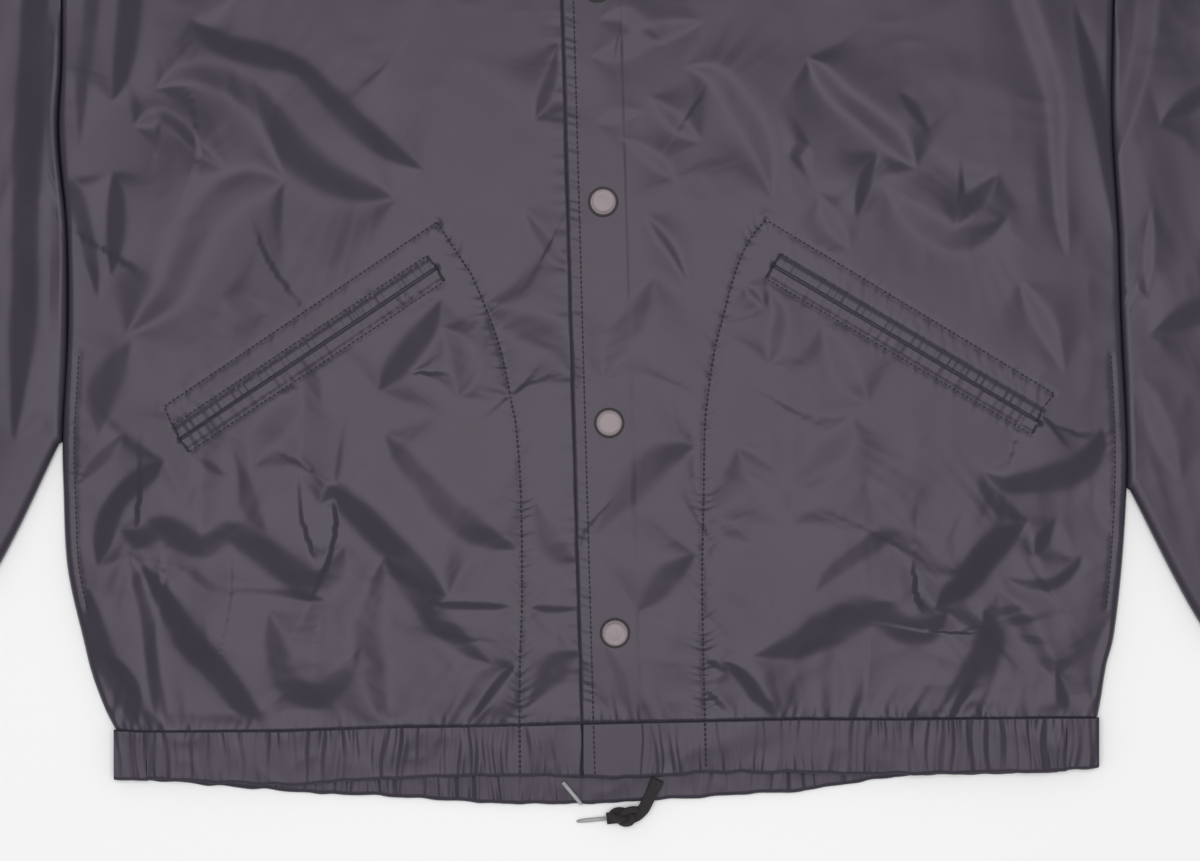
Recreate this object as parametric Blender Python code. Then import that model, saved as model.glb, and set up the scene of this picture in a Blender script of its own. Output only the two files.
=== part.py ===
"""A coach jacket in thin nylon, laid flat on its back with its front up and its arms beside it.

Every size is in millimetres. X runs across the garment to the viewer's right, Y from hem to collar and
Z up from the surface that it lies on. The tables use the garment's own measure: x from the middle of the
view and y from the lower edge of the front hem. to_frame() moves them to the part's origin.
"""

import math
from functools import lru_cache

import bmesh
import bpy
from mathutils import Vector
from mathutils.bvhtree import BVHTree

# Cloth and layers
WALL = 2.0
SEAM_GAP = 0.3
LAYER_GAP = 0.8
BACK_TOP = WALL
EDGE_TOP = BACK_TOP + SEAM_GAP + WALL
FRONT_TOP = 7.2
EDGE_ROUNDING = 16.0

# Where the box of the whole garment has its middle, in the garment's own measure
BOX_MIDDLE = (-0.9, 372.7)

# Front closure
CENTRE_AT_HEM = 9.9
CENTRE_LEAN = -0.0277
OVERLAP_EDGE = 18.5
UNDERLAP = 18.0
STEP_START = 6.0
STEP_END = 1.0

# Neck and shoulders
NECK_HALF_WIDTH = 82.0
SHOULDER_Y = 735.0
FRONT_NECK_Y = 648.0
BACK_NECK_Y = 717.0
NECK_SHARE = 0.36
SIDE_SHARE = 0.6
SIDE_STEPS = 120
PANEL_LENGTH = 522.0

# The side edges, from the hem seam to the underarm
SIDE_COLUMNS = ("y", "left_x", "right_x")
SIDE_EDGES = (
    (27.0, -252.9, 259.6),
    (38.0, -258.4, 261.5),
    (55.0, -264.8, 264.2),
    (72.0, -269.2, 268.3),
    (110.0, -277.7, 272.5),
    (150.0, -279.9, 274.8),
    (181.0, -280.3, 274.6),
    (233.0, -277.7, 272.0),
    (285.0, -278.2, 270.4),
    (335.0, -282.4, 267.5),
    (375.0, -280.8, 267.4),
    (430.0, -281.0, 269.0),
)

# The armhole seams, from the underarm to the shoulder point
ARMHOLE_COLUMNS = ("left_x", "left_y", "right_x", "right_y")
ARMHOLES = (
    (-281.0, 430.0, 269.0, 430.0),
    (-266.0, 462.0, 254.0, 462.0),
    (-250.0, 520.0, 238.0, 520.0),
    (-246.0, 590.0, 232.0, 590.0),
    (-249.0, 640.0, 233.0, 640.0),
    (-254.5, 690.0, 237.0, 690.0),
)

# The hem: its seam, the lower edge of the fronts and the lower edge of the longer back
HEM_COLUMNS = ("x", "seam_y", "front_low_y", "back_low_y")
HEM_LINES = (
    (-253.0, 24.6, -1.0, -1.0),
    (-234.0, 23.6, -1.2, -1.8),
    (-163.0, 24.0, -4.4, -7.6),
    (-104.0, 26.0, -0.4, -10.6),
    (-62.0, 26.4, 0.8, -13.5),
    (-18.0, 27.6, 0.4, -14.5),
    (8.0, 28.2, -0.8, -13.4),
    (58.0, 29.2, 2.6, -10.4),
    (104.0, 30.2, 2.3, -7.6),
    (154.0, 30.0, 1.4, 0.2),
    (239.0, 31.0, 3.2, 2.6),
    (260.5, 31.0, 5.6, 5.6),
)
BACK_SEAM_DROP = 13.0
HEM_THICKNESS = 4.2
HEM_WRAP = 17.0
HEM_EDGE_WAVE = 0.8

# A casing's section. Columns: share of its height in plan, share of its thickness
HEM_SECTION = ((0.0, 0.5), (0.1, 0.92), (0.5, 1.0), (0.9, 0.92), (1.0, 0.5), (0.9, 0.0), (0.1, 0.0))

# Gathers pressed into the elastic hem and cuffs
FRONT_HEM_GATHERS = 20
BACK_HEM_GATHERS = 22
CUFF_GATHERS = 9
STEPS_PER_GATHER = 4
HEM_GATHER_DEPTH = 1.1
CUFF_GATHER_DEPTH = 1.4

# Folds of the fronts: a soft ridge or trough from one point to another. Bend bows it to the left of its
# run, width is where it has fallen to a third and height is above or, if negative, below the cloth.
# Columns: x0, y0, x1, y1, bend, width, height
FRONT_FOLDS = (
    (-168.0, 312.0, -246.0, 222.0, 12.0, 11.0, -2.8),
    (-226.0, 352.0, -108.0, 300.0, -22.0, 10.0, -2.4),
    (-212.0, 390.0, -104.0, 326.0, -6.0, 9.0, -1.8),
    (-252.0, 402.0, -258.0, 256.0, -3.0, 8.0, 2.6),
    (-236.0, 410.0, -250.0, 300.0, 2.0, 8.0, -2.2),
    (-226.0, 168.0, -262.0, 104.0, -4.0, 9.0, -2.4),
    (-228.0, 138.0, -132.0, 128.0, 14.0, 11.0, -2.2),
    (-146.0, 150.0, -66.0, 88.0, -6.0, 10.0, -2.8),
    (-240.0, 112.0, -174.0, 32.0, 8.0, 10.0, -2.4),
    (-250.0, 112.0, -232.0, 30.0, -5.0, 8.0, 2.6),
    (-112.0, 104.0, -124.0, 44.0, 4.0, 10.0, -2.2),
    (-98.0, 236.0, -76.0, 196.0, -6.0, 11.0, -2.0),
    (46.0, 376.0, 92.0, 300.0, -14.0, 10.0, -2.2),
    (34.0, 300.0, 50.0, 236.0, -3.0, 9.0, -1.8),
    (108.0, 372.0, 168.0, 312.0, 3.0, 10.0, -3.0),
    (148.0, 308.0, 216.0, 294.0, 24.0, 10.0, -2.6),
    (216.0, 404.0, 246.0, 262.0, -8.0, 8.0, -2.6),
    (234.0, 404.0, 262.0, 290.0, -6.0, 8.0, 2.6),
    (152.0, 128.0, 112.0, 100.0, 4.0, 10.0, -2.2),
    (152.0, 128.0, 188.0, 106.0, 4.0, 10.0, -2.2),
    (218.0, 132.0, 178.0, 92.0, -5.0, 10.0, -2.8),
    (206.0, 96.0, 236.0, 54.0, -4.0, 9.0, -2.2),
    (200.0, 156.0, 250.0, 152.0, 6.0, 10.0, -2.0),
    (44.0, 170.0, 8.0, 134.0, 4.0, 10.0, -1.8),
    (124.0, 232.0, 138.0, 184.0, 5.0, 10.0, -2.2),
    (66.0, 62.0, 88.0, 34.0, -3.0, 7.0, -2.2),
    (-180.0, 560.0, -104.0, 470.0, 12.0, 13.0, -2.6),
    (-140.0, 626.0, -216.0, 546.0, 10.0, 13.0, 2.4),
    (-226.0, 520.0, -190.0, 440.0, 6.0, 11.0, -2.4),
    (122.0, 622.0, 196.0, 552.0, -10.0, 13.0, 2.4),
    (64.0, 520.0, 150.0, 450.0, -12.0, 13.0, -2.6),
    (214.0, 530.0, 186.0, 440.0, -6.0, 11.0, -2.4),
)
CLOSURE_FOLD_SHARE = 0.25
CLOSURE_HALF_WIDTH = 34.0
CLOSURE_FADE = 0.6
CLOSURE_LOW = 7.0

# Sleeve plans, down to the cuff seam: the outer edge from the shoulder, and the inner edge from the place
# where it leaves the body's side
SLEEVE_EDGES = {
    "right": {
        "outer": ((-255.0, 690.0), (-303.0, 622.0), (-342.0, 535.0), (-371.0, 440.0),
                  (-398.0, 340.0), (-424.0, 240.0), (-443.0, 165.0), (-438.6, 116.0)),
        "inner": ((-281.8, 174.0), (-318.0, 103.0), (-348.0, 83.0)),
    },
    "left": {
        "outer": ((237.5, 690.0), (288.0, 622.0), (330.0, 535.0), (362.0, 440.0),
                  (391.0, 340.0), (418.0, 240.0), (438.0, 163.0), (433.0, 109.0)),
        "inner": ((276.0, 150.0), (318.0, 73.0), (346.0, 69.0)),
    },
}
INNER_TURN = 0.62
ARMHOLE_FADE = 9
SLEEVE_TOP = 7.4
SLEEVE_CLEAR = 0.9
ARMHOLE_SHARE = 0.85
OPENING_LOW = 396.0
UNDERARM_BULGE = 14.0
SLEEVE_ROWS = 17
SLEEVE_RISE = 0.06
HOLLOW_HALF = 0.4
SLEEVE_EDGE_RADIUS = 2.4

# The ring round a flat sleeve, from its outer edge over the top and back underneath. Columns: share
# across, distance in from the edge, share of the height
SLEEVE_RING = (
    (0.0, 0.0, 0.5),
    (0.0, 2.4, 0.9),
    (0.12, 0.0, 1.0),
    (0.3, 0.0, 1.0),
    (0.5, 0.0, 1.0),
    (0.7, 0.0, 1.0),
    (0.85, 0.0, 1.0),
    (1.0, 2.4, 0.9),
    (1.0, 0.0, 0.5),
    (1.0, 2.4, 0.0),
    (0.85, 0.0, 0.0),
    (0.7, 0.0, 0.0),
    (0.5, 0.0, 0.0),
    (0.25, 0.0, 0.0),
    (0.0, 2.4, 0.0),
)
MOST_INSET = 0.09

# Folds of the sleeves, as shares across and down the sleeve with a height in millimetres. Columns: across
# and down at the start, across and down at the end, width, height
SLEEVE_FOLDS = (
    (0.2, 0.1, 0.8, 0.3, 0.07, -1.5),
    (0.75, 0.28, 0.9, 0.6, 0.08, 1.2),
    (0.45, 0.3, 0.55, 0.62, 0.08, -1.4),
    (0.1, 0.45, 0.7, 0.56, 0.05, -1.4),
    (0.85, 0.6, 0.2, 0.72, 0.05, 1.2),
    (0.2, 0.8, 0.75, 0.9, 0.05, -1.5),
)

# Elastic cuffs
CUFF_LENGTH = 45.0
CUFF_WIDTH = 90.0
CUFF_TOP = 7.0
CUFF_ROWS = 3
CUFF_SQUARENESS = 8
CUFF_UNDER_INSET = 1.5

# The collar: half of it, from the front centre round to the middle of the back. Seam, roll and edge are
# places from the leaning centre line; turn is how far the fall has gone round the stand. Columns: seam x,
# seam y, seam z, roll x, roll y, roll z, edge x, edge y, edge z, turn
COLLAR_HALF = (
    (1.0, 650.5, 8.7, 2.0, 674.0, 10.4, 56.0, 598.0, 8.5, 0.0),
    (22.0, 652.5, 8.7, 22.0, 678.0, 10.6, 72.0, 616.0, 8.5, 0.0),
    (46.0, 664.0, 8.7, 43.0, 692.0, 11.0, 92.0, 656.0, 8.5, 0.04),
    (65.0, 684.0, 8.6, 59.0, 713.0, 11.4, 106.0, 700.0, 8.5, 0.1),
    (75.0, 706.0, 8.4, 67.0, 735.0, 11.2, 113.0, 727.0, 8.4, 0.18),
    (77.8, 719.0, 7.8, 70.0, 748.0, 11.0, 110.0, 738.0, 7.0, 0.32),
    (79.0, 724.0, 6.0, 74.0, 751.0, 8.8, 105.0, 743.0, 4.8, 0.5),
    (73.5, 724.5, 4.4, 67.0, 755.0, 6.8, 95.0, 745.0, 3.2, 0.66),
    (62.0, 722.0, 4.0, 53.0, 757.0, 7.2, 80.0, 743.5, 2.6, 0.84),
    (36.0, 716.0, 3.5, 30.0, 757.0, 6.6, 44.0, 732.0, 1.6, 0.93),
    (0.0, 713.5, 3.5, 0.0, 755.5, 6.2, 0.0, 724.0, 1.3, 1.0),
)
COLLAR_WALL = 1.2
COLLAR_STEPS = 2
ROLL_WIDTH = 3.6

# Pocket welts: the ends of the slit. Columns: inner x, inner y, outer x, outer y
POCKETS = {"right": (-85.4, 265.0, -218.1, 176.4), "left": (90.7, 266.2, 228.5, 185.1)}
WELT_WIDTH = 7.4
WELT_THICKNESS = 1.2
WELT_CLEARANCE = 0.45
SLIT_HALF = 0.4
WELT_STEPS = 11

# Snap caps up the closure
SNAP_HEIGHTS = (75.4, 184.6, 299.5, 411.0, 522.0, 632.0)
SNAP_DIAMETER = 15.4

# A cap's turned outline. Columns: share of the radius, height
SNAP_PROFILE = ((0.92, 0.0), (1.0, 1.0), (0.9, 1.9), (0.82, 1.5), (0.45, 1.9))
SNAP_SIDES = 16

# The drawcord's free end: a flat woven cord, its knot and the two tips. Columns of the route: x, y, z
CORD_WIDTH = 6.2
CORD_THICKNESS = 2.4
CORD_ROUTE = (
    (30.2, -1.2, 6.6),
    (28.2, -5.4, 6.2),
    (26.2, -9.4, 5.9),
    (24.2, -13.4, 5.3),
    (22.2, -17.0, 4.6),
)
KNOT_CENTRE = (12.4, -20.0, 4.3)
KNOT_SIZE = (18.0, 9.6, 8.4)
KNOT_LEAN = math.radians(-14)
KNOT_STEPS = 10
KNOT_SIDES = 14
KNOT_END = 0.97
TIP_LENGTH = 15.6
TIP_RADIUS = 1.1
TIP_SIDES = 10
TIP_PROFILE = ((0.0, 1.0), (0.7, 1.0), (0.92, 0.8), (1.0, 0.4))
TIPS = {
    "cord_tip_left": ((3.0, -21.6, 3.2), (-12.6, -23.4, 1.3)),
    "cord_tip_right": ((-19.4, -2.4, 5.1), (-9.8, -13.8, 4.5)),
}

NYLON = "#5A5560"
NYLON_DARK = "#4C4852"
SNAP_METAL = "#8A8186"
CORD_BLACK = "#2B2729"
TIP_GREY = "#9A9A9C"


def to_frame(x, y, z):
    """A point of the garment's own measure in the part's frame, in metres."""
    return Vector(((x - BOX_MIDDLE[0]) / 1000, (y - BOX_MIDDLE[1]) / 1000, z / 1000))


def mix(a, b, share):
    return a + (b - a) * share


def mix_points(a, b, share):
    return tuple(mix(p, q, share) for p, q in zip(a, b))


def smooth(value):
    value = min(1.0, max(0.0, value))
    return value * value * (3 - 2 * value)


def spline(rows, share):
    """A point on the smooth curve through rows, share 0 at the first and 1 at the last."""
    place = min(max(share, 0.0), 1.0) * (len(rows) - 1)
    start = min(int(place), len(rows) - 2)
    t = place - start
    before, first = rows[max(start - 1, 0)], rows[start]
    second, after = rows[start + 1], rows[min(start + 2, len(rows) - 1)]
    return tuple(
        0.5 * (2 * b + (c - a) * t + (2 * a - 5 * b + 4 * c - d) * t * t + (3 * b - a - 3 * c + d) * t**3)
        for a, b, c, d in zip(before, first, second, after)
    )


def table_value(rows, key, column):
    """The column's value where the first column has the value key, between rows in straight steps."""
    for low, high in zip(rows, rows[1:]):
        if key <= high[0] or high is rows[-1]:
            share = min(max((key - low[0]) / (high[0] - low[0]), 0.0), 1.0)
            return mix(low[column], high[column], share)


def centre_x(y):
    return CENTRE_AT_HEM + CENTRE_LEAN * y


def edge_x(y):
    """The visible front edge of the wearer's left front."""
    return centre_x(y) - OVERLAP_EDGE


def seam_y(x):
    return table_value(HEM_LINES, x, HEM_COLUMNS.index("seam_y"))


def back_seam_y(x):
    """The back's hem seam runs lower than the fronts' between the two wraps."""
    start, end = HEM_LINES[0][0] + HEM_WRAP, HEM_LINES[-1][0] - HEM_WRAP
    share = min(max((x - start) / (end - start), 0.0), 1.0)
    return seam_y(x) - BACK_SEAM_DROP * math.sin(math.pi * share) ** 2


def along_side(side, share):
    """The side seam edge from the hem to the underarm, then the armhole up to the shoulder point."""
    edge = "left_x" if side < 0 else "right_x"
    if share <= SIDE_SHARE:
        column = SIDE_COLUMNS.index(edge)
        row = spline(SIDE_EDGES, share / SIDE_SHARE)
        to_seam = seam_y(SIDE_EDGES[0][column]) + SEAM_GAP - SIDE_EDGES[0][0]
        return (row[column], row[0] + to_seam * (1 - share / SIDE_SHARE))
    row = spline(ARMHOLES, (share - SIDE_SHARE) / (1 - SIDE_SHARE))
    column = ARMHOLE_COLUMNS.index(edge)
    return row[column : column + 2]


@lru_cache
def side_rows(side):
    """Rows of y and x along the body's edge."""
    return [along_side(side, i / SIDE_STEPS)[::-1] for i in range(SIDE_STEPS + 1)]


def beside_body(side, y):
    """The x that is just clear of the body's edge at y."""
    return table_value(side_rows(side), y, 1) + side * SLEEVE_CLEAR


def neck_point(side, angle, centre_y):
    """The neckline, angle 0 at the centre and 90 degrees at the shoulder."""
    y = SHOULDER_Y - (SHOULDER_Y - centre_y) * math.cos(angle)
    return (centre_x(y) + side * NECK_HALF_WIDTH * math.sin(angle), y)


def along_top(side, share, centre_y, inner_x=0.0):
    """The neckline from inner_x beside the centre to the shoulder, then the shoulder line."""
    if share <= NECK_SHARE:
        first = math.asin(side * inner_x / NECK_HALF_WIDTH)
        return neck_point(side, mix(first, math.pi / 2, share / NECK_SHARE), centre_y)
    start = neck_point(side, math.pi / 2, centre_y)
    end = along_side(side, 1.0)
    return mix_points(start, end, (share - NECK_SHARE) / (1 - NECK_SHARE))


def patch(low, high, inner, outer, u, v):
    """A point inside four edges: low and high run with u, inner and outer with v."""
    a, b, c, d = low(u), high(u), inner(v), outer(v)
    corners = (low(0), low(1), high(0), high(1))
    weights = ((1 - u) * (1 - v), u * (1 - v), (1 - u) * v, u * v)
    return tuple(
        (1 - v) * a[i] + v * b[i] + (1 - u) * c[i] + u * d[i]
        - sum(w * corner[i] for w, corner in zip(weights, corners))
        for i in (0, 1)
    )


def fold_height(x, y, folds):
    """The sum of the soft ridges and troughs at a place."""
    total = 0.0
    for x0, y0, x1, y1, bend, width, height in folds:
        run_x, run_y = x1 - x0, y1 - y0
        length = math.hypot(run_x, run_y)
        along = ((x - x0) * run_x + (y - y0) * run_y) / length**2
        if -0.1 < along < 1.1:
            aside = ((y - y0) * run_x - (x - x0) * run_y) / length - bend * 4 * along * (1 - along)
            taper = smooth((along + 0.1) / 0.35) * smooth((1.1 - along) / 0.35)
            total += height * math.exp(-((aside / width) ** 2)) * taper
    return total


def front_height(x, y):
    """The upper surface of the fronts over the floor, before it falls to the seams."""
    away = smooth(abs(x - centre_x(y)) / CLOSURE_HALF_WIDTH - CLOSURE_FADE)
    folded = FRONT_TOP + mix(CLOSURE_FOLD_SHARE, 1.0, away) * fold_height(x, y, FRONT_FOLDS)
    return max(folded, mix(CLOSURE_LOW, EDGE_TOP + 0.1, away))


def material(name, colour, roughness, metallic=0.0):
    made = bpy.data.materials.new(name)
    made.use_nodes = True
    shader = made.node_tree.nodes["Principled BSDF"]
    channels = [int(colour[i : i + 2], 16) / 255 for i in (1, 3, 5)]
    linear = [c / 12.92 if c <= 0.04045 else ((c + 0.055) / 1.055) ** 2.4 for c in channels]
    shader.inputs["Base Color"].default_value = (*linear, 1.0)
    shader.inputs["Roughness"].default_value = roughness
    shader.inputs["Metallic"].default_value = metallic
    made.diffuse_color = (*linear, 1.0)
    return made


def solid(name, points, faces, finish, smooth_shaded=True):
    """One closed object from points in the garment's measure, with its faces turned outwards."""
    mesh = bpy.data.meshes.new(name)
    mesh.from_pydata([to_frame(*p) for p in points], [], faces)
    work = bmesh.new()
    work.from_mesh(mesh)
    bmesh.ops.recalc_face_normals(work, faces=work.faces)
    bmesh.ops.triangulate(work, faces=work.faces)
    work.to_mesh(mesh)
    work.free()
    if smooth_shaded:
        mesh.shade_smooth()
        mesh.set_sharp_from_angle(angle=math.radians(50))
    mesh.materials.append(finish)
    made = bpy.data.objects.new(name, mesh)
    bpy.context.scene.collection.objects.link(made)
    return made


def wall_between(name, upper, lower, finish):
    """A closed wall between two grids of points that match row by row."""
    rows, columns = len(upper), len(upper[0])
    points = [p for grid in (upper, lower) for row in grid for p in row]
    under = rows * columns

    def at(row, column, layer=0):
        return layer * under + row * columns + column

    faces = []
    for r in range(rows - 1):
        for c in range(columns - 1):
            faces.append((at(r, c), at(r, c + 1), at(r + 1, c + 1), at(r + 1, c)))
            faces.append((at(r, c, 1), at(r + 1, c, 1), at(r + 1, c + 1, 1), at(r, c + 1, 1)))
    for c in range(columns - 1):
        for r in (0, rows - 1):
            faces.append((at(r, c), at(r, c, 1), at(r, c + 1, 1), at(r, c + 1)))
    for r in range(rows - 1):
        for c in (0, columns - 1):
            faces.append((at(r, c), at(r + 1, c), at(r + 1, c, 1), at(r, c, 1)))
    return solid(name, points, faces, finish)


def dropped(grid, depth):
    return [[(x, y, z - depth) for x, y, z in row] for row in grid]


def rings(name, sections, finish, inner=None):
    """A closed body through rings of points. With inner rings it is an open tube with a wall."""
    count = len(sections[0])
    points = [p for section in sections for p in section]
    faces = []

    def skin(first, sections_in_skin):
        for r in range(sections_in_skin - 1):
            for k in range(count):
                n = (k + 1) % count
                base = first + r * count
                faces.append((base + k, base + n, base + count + n, base + count + k))

    skin(0, len(sections))
    last = (len(sections) - 1) * count
    if inner:
        offset = len(points)
        points += [p for section in inner for p in section]
        skin(offset, len(inner))
        for start in (0, last):
            for k in range(count):
                n = (k + 1) % count
                faces.append((start + k, start + n, offset + start + n, offset + start + k))
    else:
        faces.append(tuple(range(count)))
        faces.append(tuple(range(last, last + count)))
    return solid(name, points, faces, finish)


def shares(*runs):
    """Shares from 0 to 1: each run is (end, number of steps)."""
    values, start = [0.0], 0.0
    for end, steps in runs:
        values += [mix(start, end, (i + 1) / steps) for i in range(steps)]
        start = end
    return values


def build_back(finish):
    """The back lies flat on the surface. It reaches lower than the fronts at the middle of the hem."""

    def low(u):
        x = mix(along_side(-1, 0)[0], along_side(1, 0)[0], u)
        return (x, back_seam_y(x) + SEAM_GAP)

    def high(u):
        side = -1 if u < 0.5 else 1
        return along_top(side, abs(2 * u - 1), BACK_NECK_Y)

    def left(v):
        return along_side(-1, v)

    def right(v):
        return along_side(1, v)

    rows = shares((SIDE_SHARE, 10), (1.0, 10))
    columns = [0.5 * (1 - s) for s in reversed(shares((NECK_SHARE, 4), (1.0, 4)))]
    columns += [1 - u for u in reversed(columns[:-1])]
    grid = [[(*patch(low, high, left, right, u, v), BACK_TOP) for u in columns] for v in rows]
    return wall_between("back", grid, dropped(grid, WALL), finish)


def neckline_y(x):
    """The front neckline's height in plan at x."""
    share = (x - centre_x(FRONT_NECK_Y)) / NECK_HALF_WIDTH
    return SHOULDER_Y - (SHOULDER_Y - FRONT_NECK_Y) * math.sqrt(1 - share * share)


def front_grid(side, inner_offset, columns, rows):
    """The upper points of a front, from inner_offset beside the front edge to the side seam."""
    top_y = neckline_y(edge_x(FRONT_NECK_Y) + inner_offset)

    def inner(v):
        y = mix(seam_y(edge_x(0)) + SEAM_GAP, top_y, v)
        x = edge_x(y) + inner_offset
        return (x, y)

    def low(u):
        x = mix(inner(0)[0], along_side(side, 0)[0], u)
        return (x, seam_y(x) + SEAM_GAP)

    def high(u):
        start_x = inner(1)[0] - centre_x(FRONT_NECK_Y)
        return along_top(side, u, FRONT_NECK_Y, start_x)

    def outer(v):
        return along_side(side, v)

    def height(x, y, u, v):
        near_side = (1 - u) * abs(outer(v)[0] - inner(v)[0])
        near_shoulder = (1 - v) * PANEL_LENGTH if u > NECK_SHARE else EDGE_ROUNDING
        near = min(near_side, near_shoulder)
        return mix(EDGE_TOP, front_height(x, y), math.sqrt(smooth(near / EDGE_ROUNDING)))

    grid = []
    for v in rows:
        row = []
        for u in columns:
            x, y = patch(low, high, inner, outer, u, v)
            row.append((x, y, height(x, y, u, v)))
        grid.append(row)
    return grid


def build_fronts(finish):
    """The wearer's left front laps over the right one, which steps down under it at the closure."""
    rows = shares((SIDE_SHARE, 22), (1.0, 10))
    columns = shares((NECK_SHARE, 7), (0.93, 9), (1.0, 2))
    over = front_grid(1, 0.0, columns, rows)
    left = wall_between("left_front", over, dropped(over, WALL), finish)

    shown = front_grid(-1, -STEP_START, columns, rows)
    under = []
    for share, row in zip(rows, shown):
        x, y, _ = row[0]
        front_edge = x + STEP_START
        lap = []
        for offset in (OVERLAP_EDGE + UNDERLAP, OVERLAP_EDGE, -STEP_END):
            lap_x = front_edge + offset
            lap_y = y + share**4 * (neckline_y(lap_x) - neckline_y(x))
            lap.append((lap_x, lap_y, front_height(lap_x, lap_y) - WALL - LAYER_GAP))
        under.append(lap + row)
    right = wall_between("right_front", under, dropped(under, WALL), finish)
    return left, right


def gather(share, count, seed):
    """Height of a row of gathers from 0 to 1, uneven in spacing and size."""
    phase = share * count + 0.35 * math.sin(share * count * 0.9 + seed)
    size = 0.7 + 0.3 * math.sin(share * count * 1.7 + 2 * seed)
    return size * 0.5 * (1 + math.cos(2 * math.pi * phase))


def hem_strip(name, ends, low, top, floor, height, count, seed, finish):
    """A gathered casing between two edge lines, with a flat underside at height floor."""
    x_start, x_end = ends
    sections = []
    steps = count * STEPS_PER_GATHER
    for i in range(steps + 1):
        share = i / steps
        x = mix(x_start, x_end, share)
        crown = height(x) - HEM_GATHER_DEPTH * (1 - gather(share, count, seed))
        low_y = low(x) + HEM_EDGE_WAVE * gather(share, count, seed + 1)
        sections.append(
            [
                (x, mix(low_y, top(x), rise), mix(floor, crown, part))
                for rise, part in HEM_SECTION
            ]
        )
    return rings(name, sections, finish)


def build_hems(finish):
    """The hem casing of each front, and the back's, which comes round the sides to meet them."""
    left_end, right_end = along_side(-1, 0)[0], along_side(1, 0)[0]
    floor = HEM_THICKNESS + SEAM_GAP
    crown = floor + HEM_THICKNESS

    def low(x):
        return table_value(HEM_LINES, x, HEM_COLUMNS.index("front_low_y"))

    def back_low(x):
        return table_value(HEM_LINES, x, HEM_COLUMNS.index("back_low_y"))

    def back_height(x):
        wrapped = x < left_end + HEM_WRAP or x > right_end - HEM_WRAP
        return crown if wrapped else HEM_THICKNESS

    def crown_height(x):
        return crown

    left = (edge_x(0), right_end - HEM_WRAP - SEAM_GAP)
    right = (left_end + HEM_WRAP + SEAM_GAP, edge_x(0) - SEAM_GAP)
    whole = (left_end, right_end)
    hem_strip("hem_left_front", left, low, seam_y, floor, crown_height, FRONT_HEM_GATHERS, 0.4, finish)
    hem_strip("hem_right_front", right, low, seam_y, floor, crown_height, FRONT_HEM_GATHERS, 1.9, finish)
    hem_strip("hem_back", whole, back_low, back_seam_y, 0.0, back_height, BACK_HEM_GATHERS, 3.1, finish)


def sleeve_fold_height(across, down):
    total = 0.0
    for a0, d0, a1, d1, width, height in SLEEVE_FOLDS:
        run = (a1 - a0, d1 - d0)
        length = math.hypot(*run)
        along = ((across - a0) * run[0] + (down - d0) * run[1]) / length**2
        aside = ((down - d0) * run[0] - (across - a0) * run[1]) / length
        taper = smooth((along + 0.2) / 0.4) * smooth((1.2 - along) / 0.4)
        total += height * math.exp(-((aside / width) ** 2)) * taper
    return total


def edge_inset(place, end, down, distance):
    """The share of a row that lies a distance inside the tube's edge at one end of the row."""
    step = 0.05
    here, ahead = Vector(place(end, down)), Vector(place(end, abs(down - 0.01)))
    row = (Vector(place(abs(end - step), down)) - here) / step
    edge = (ahead - here).normalized()
    from_edge = abs(row.x * edge.y - row.y * edge.x)
    return min(distance / from_edge, MOST_INSET * distance / SLEEVE_EDGE_RADIUS)


def tube_rings(place, top_at, rows):
    """Outer and inner rings of a flat tube: place(across, row) is its plan, top_at its upper height."""
    outside, inside = [], []
    for row in rows:
        outer_ring, inner_ring = [], []
        for across, inset, part in SLEEVE_RING:
            share = inner_share = across
            if across in (0.0, 1.0):
                share = abs(across - edge_inset(place, across, row, inset))
                inner_share = abs(across - edge_inset(place, across, row, 0.4 * inset + WALL))
            top = top_at(share, row)
            middle = top / 2
            outer_ring.append((*place(share, row), top * part))
            z = middle
            if part > 0.5:
                z = max(top * part - WALL, middle + HOLLOW_HALF)
            if part < 0.5:
                z = min(top * part + WALL, middle - HOLLOW_HALF)
            inner_ring.append((*place(inner_share, row), z))
        outside.append(outer_ring)
        inside.append(inner_ring)
    return outside, inside


def build_sleeve(wearer_side, finish):
    """A sleeve laid flat: a thin tube open at the armhole and at the cuff."""
    edges = SLEEVE_EDGES[wearer_side]
    side = -1 if wearer_side == "right" else 1

    def armhole(across):
        """Down the armhole seam to the underarm, then a little way down the body's side."""
        if across > ARMHOLE_SHARE:
            y = mix(SIDE_EDGES[-1][0], OPENING_LOW, (across - ARMHOLE_SHARE) / (1 - ARMHOLE_SHARE))
            return (beside_body(side, y), y)
        x, y = along_side(side, 1 - across / ARMHOLE_SHARE * (1 - SIDE_SHARE))
        return (x + side * mix(2 * SEAM_GAP, SLEEVE_CLEAR, across / ARMHOLE_SHARE), y)

    def outer(down):
        return spline((armhole(0), *edges["outer"][1:]), down)

    def inner(down):
        if down > INNER_TURN:
            return spline(edges["inner"], (down - INNER_TURN) / (1 - INNER_TURN))
        y = mix(armhole(1)[1], edges["inner"][0][1], down / INNER_TURN)
        return (beside_body(side, y), y)

    def place(across, down):
        straight = mix_points(outer(down), inner(down), across)
        chord = mix_points(armhole(0), armhole(1), across)
        fade = (1 - min(down, 1.0)) ** ARMHOLE_FADE
        x, y = (s + fade * (a - c) for s, a, c in zip(straight, armhole(across), chord))
        bulge = UNDERARM_BULGE * min(1.0, 18 * down) * (1 - min(down, 1.0)) ** 2
        return (x + side * bulge * math.sin(math.pi * across**3), y)

    def top_at(across, down):
        return mix(EDGE_TOP + 0.3, SLEEVE_TOP + sleeve_fold_height(across, down), smooth(down / SLEEVE_RISE))

    rows = shares((1.0, SLEEVE_ROWS - 1))
    outside, inside = tube_rings(place, top_at, rows)
    rings(f"sleeve_{wearer_side}", outside, finish, inside)
    return place


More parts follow.
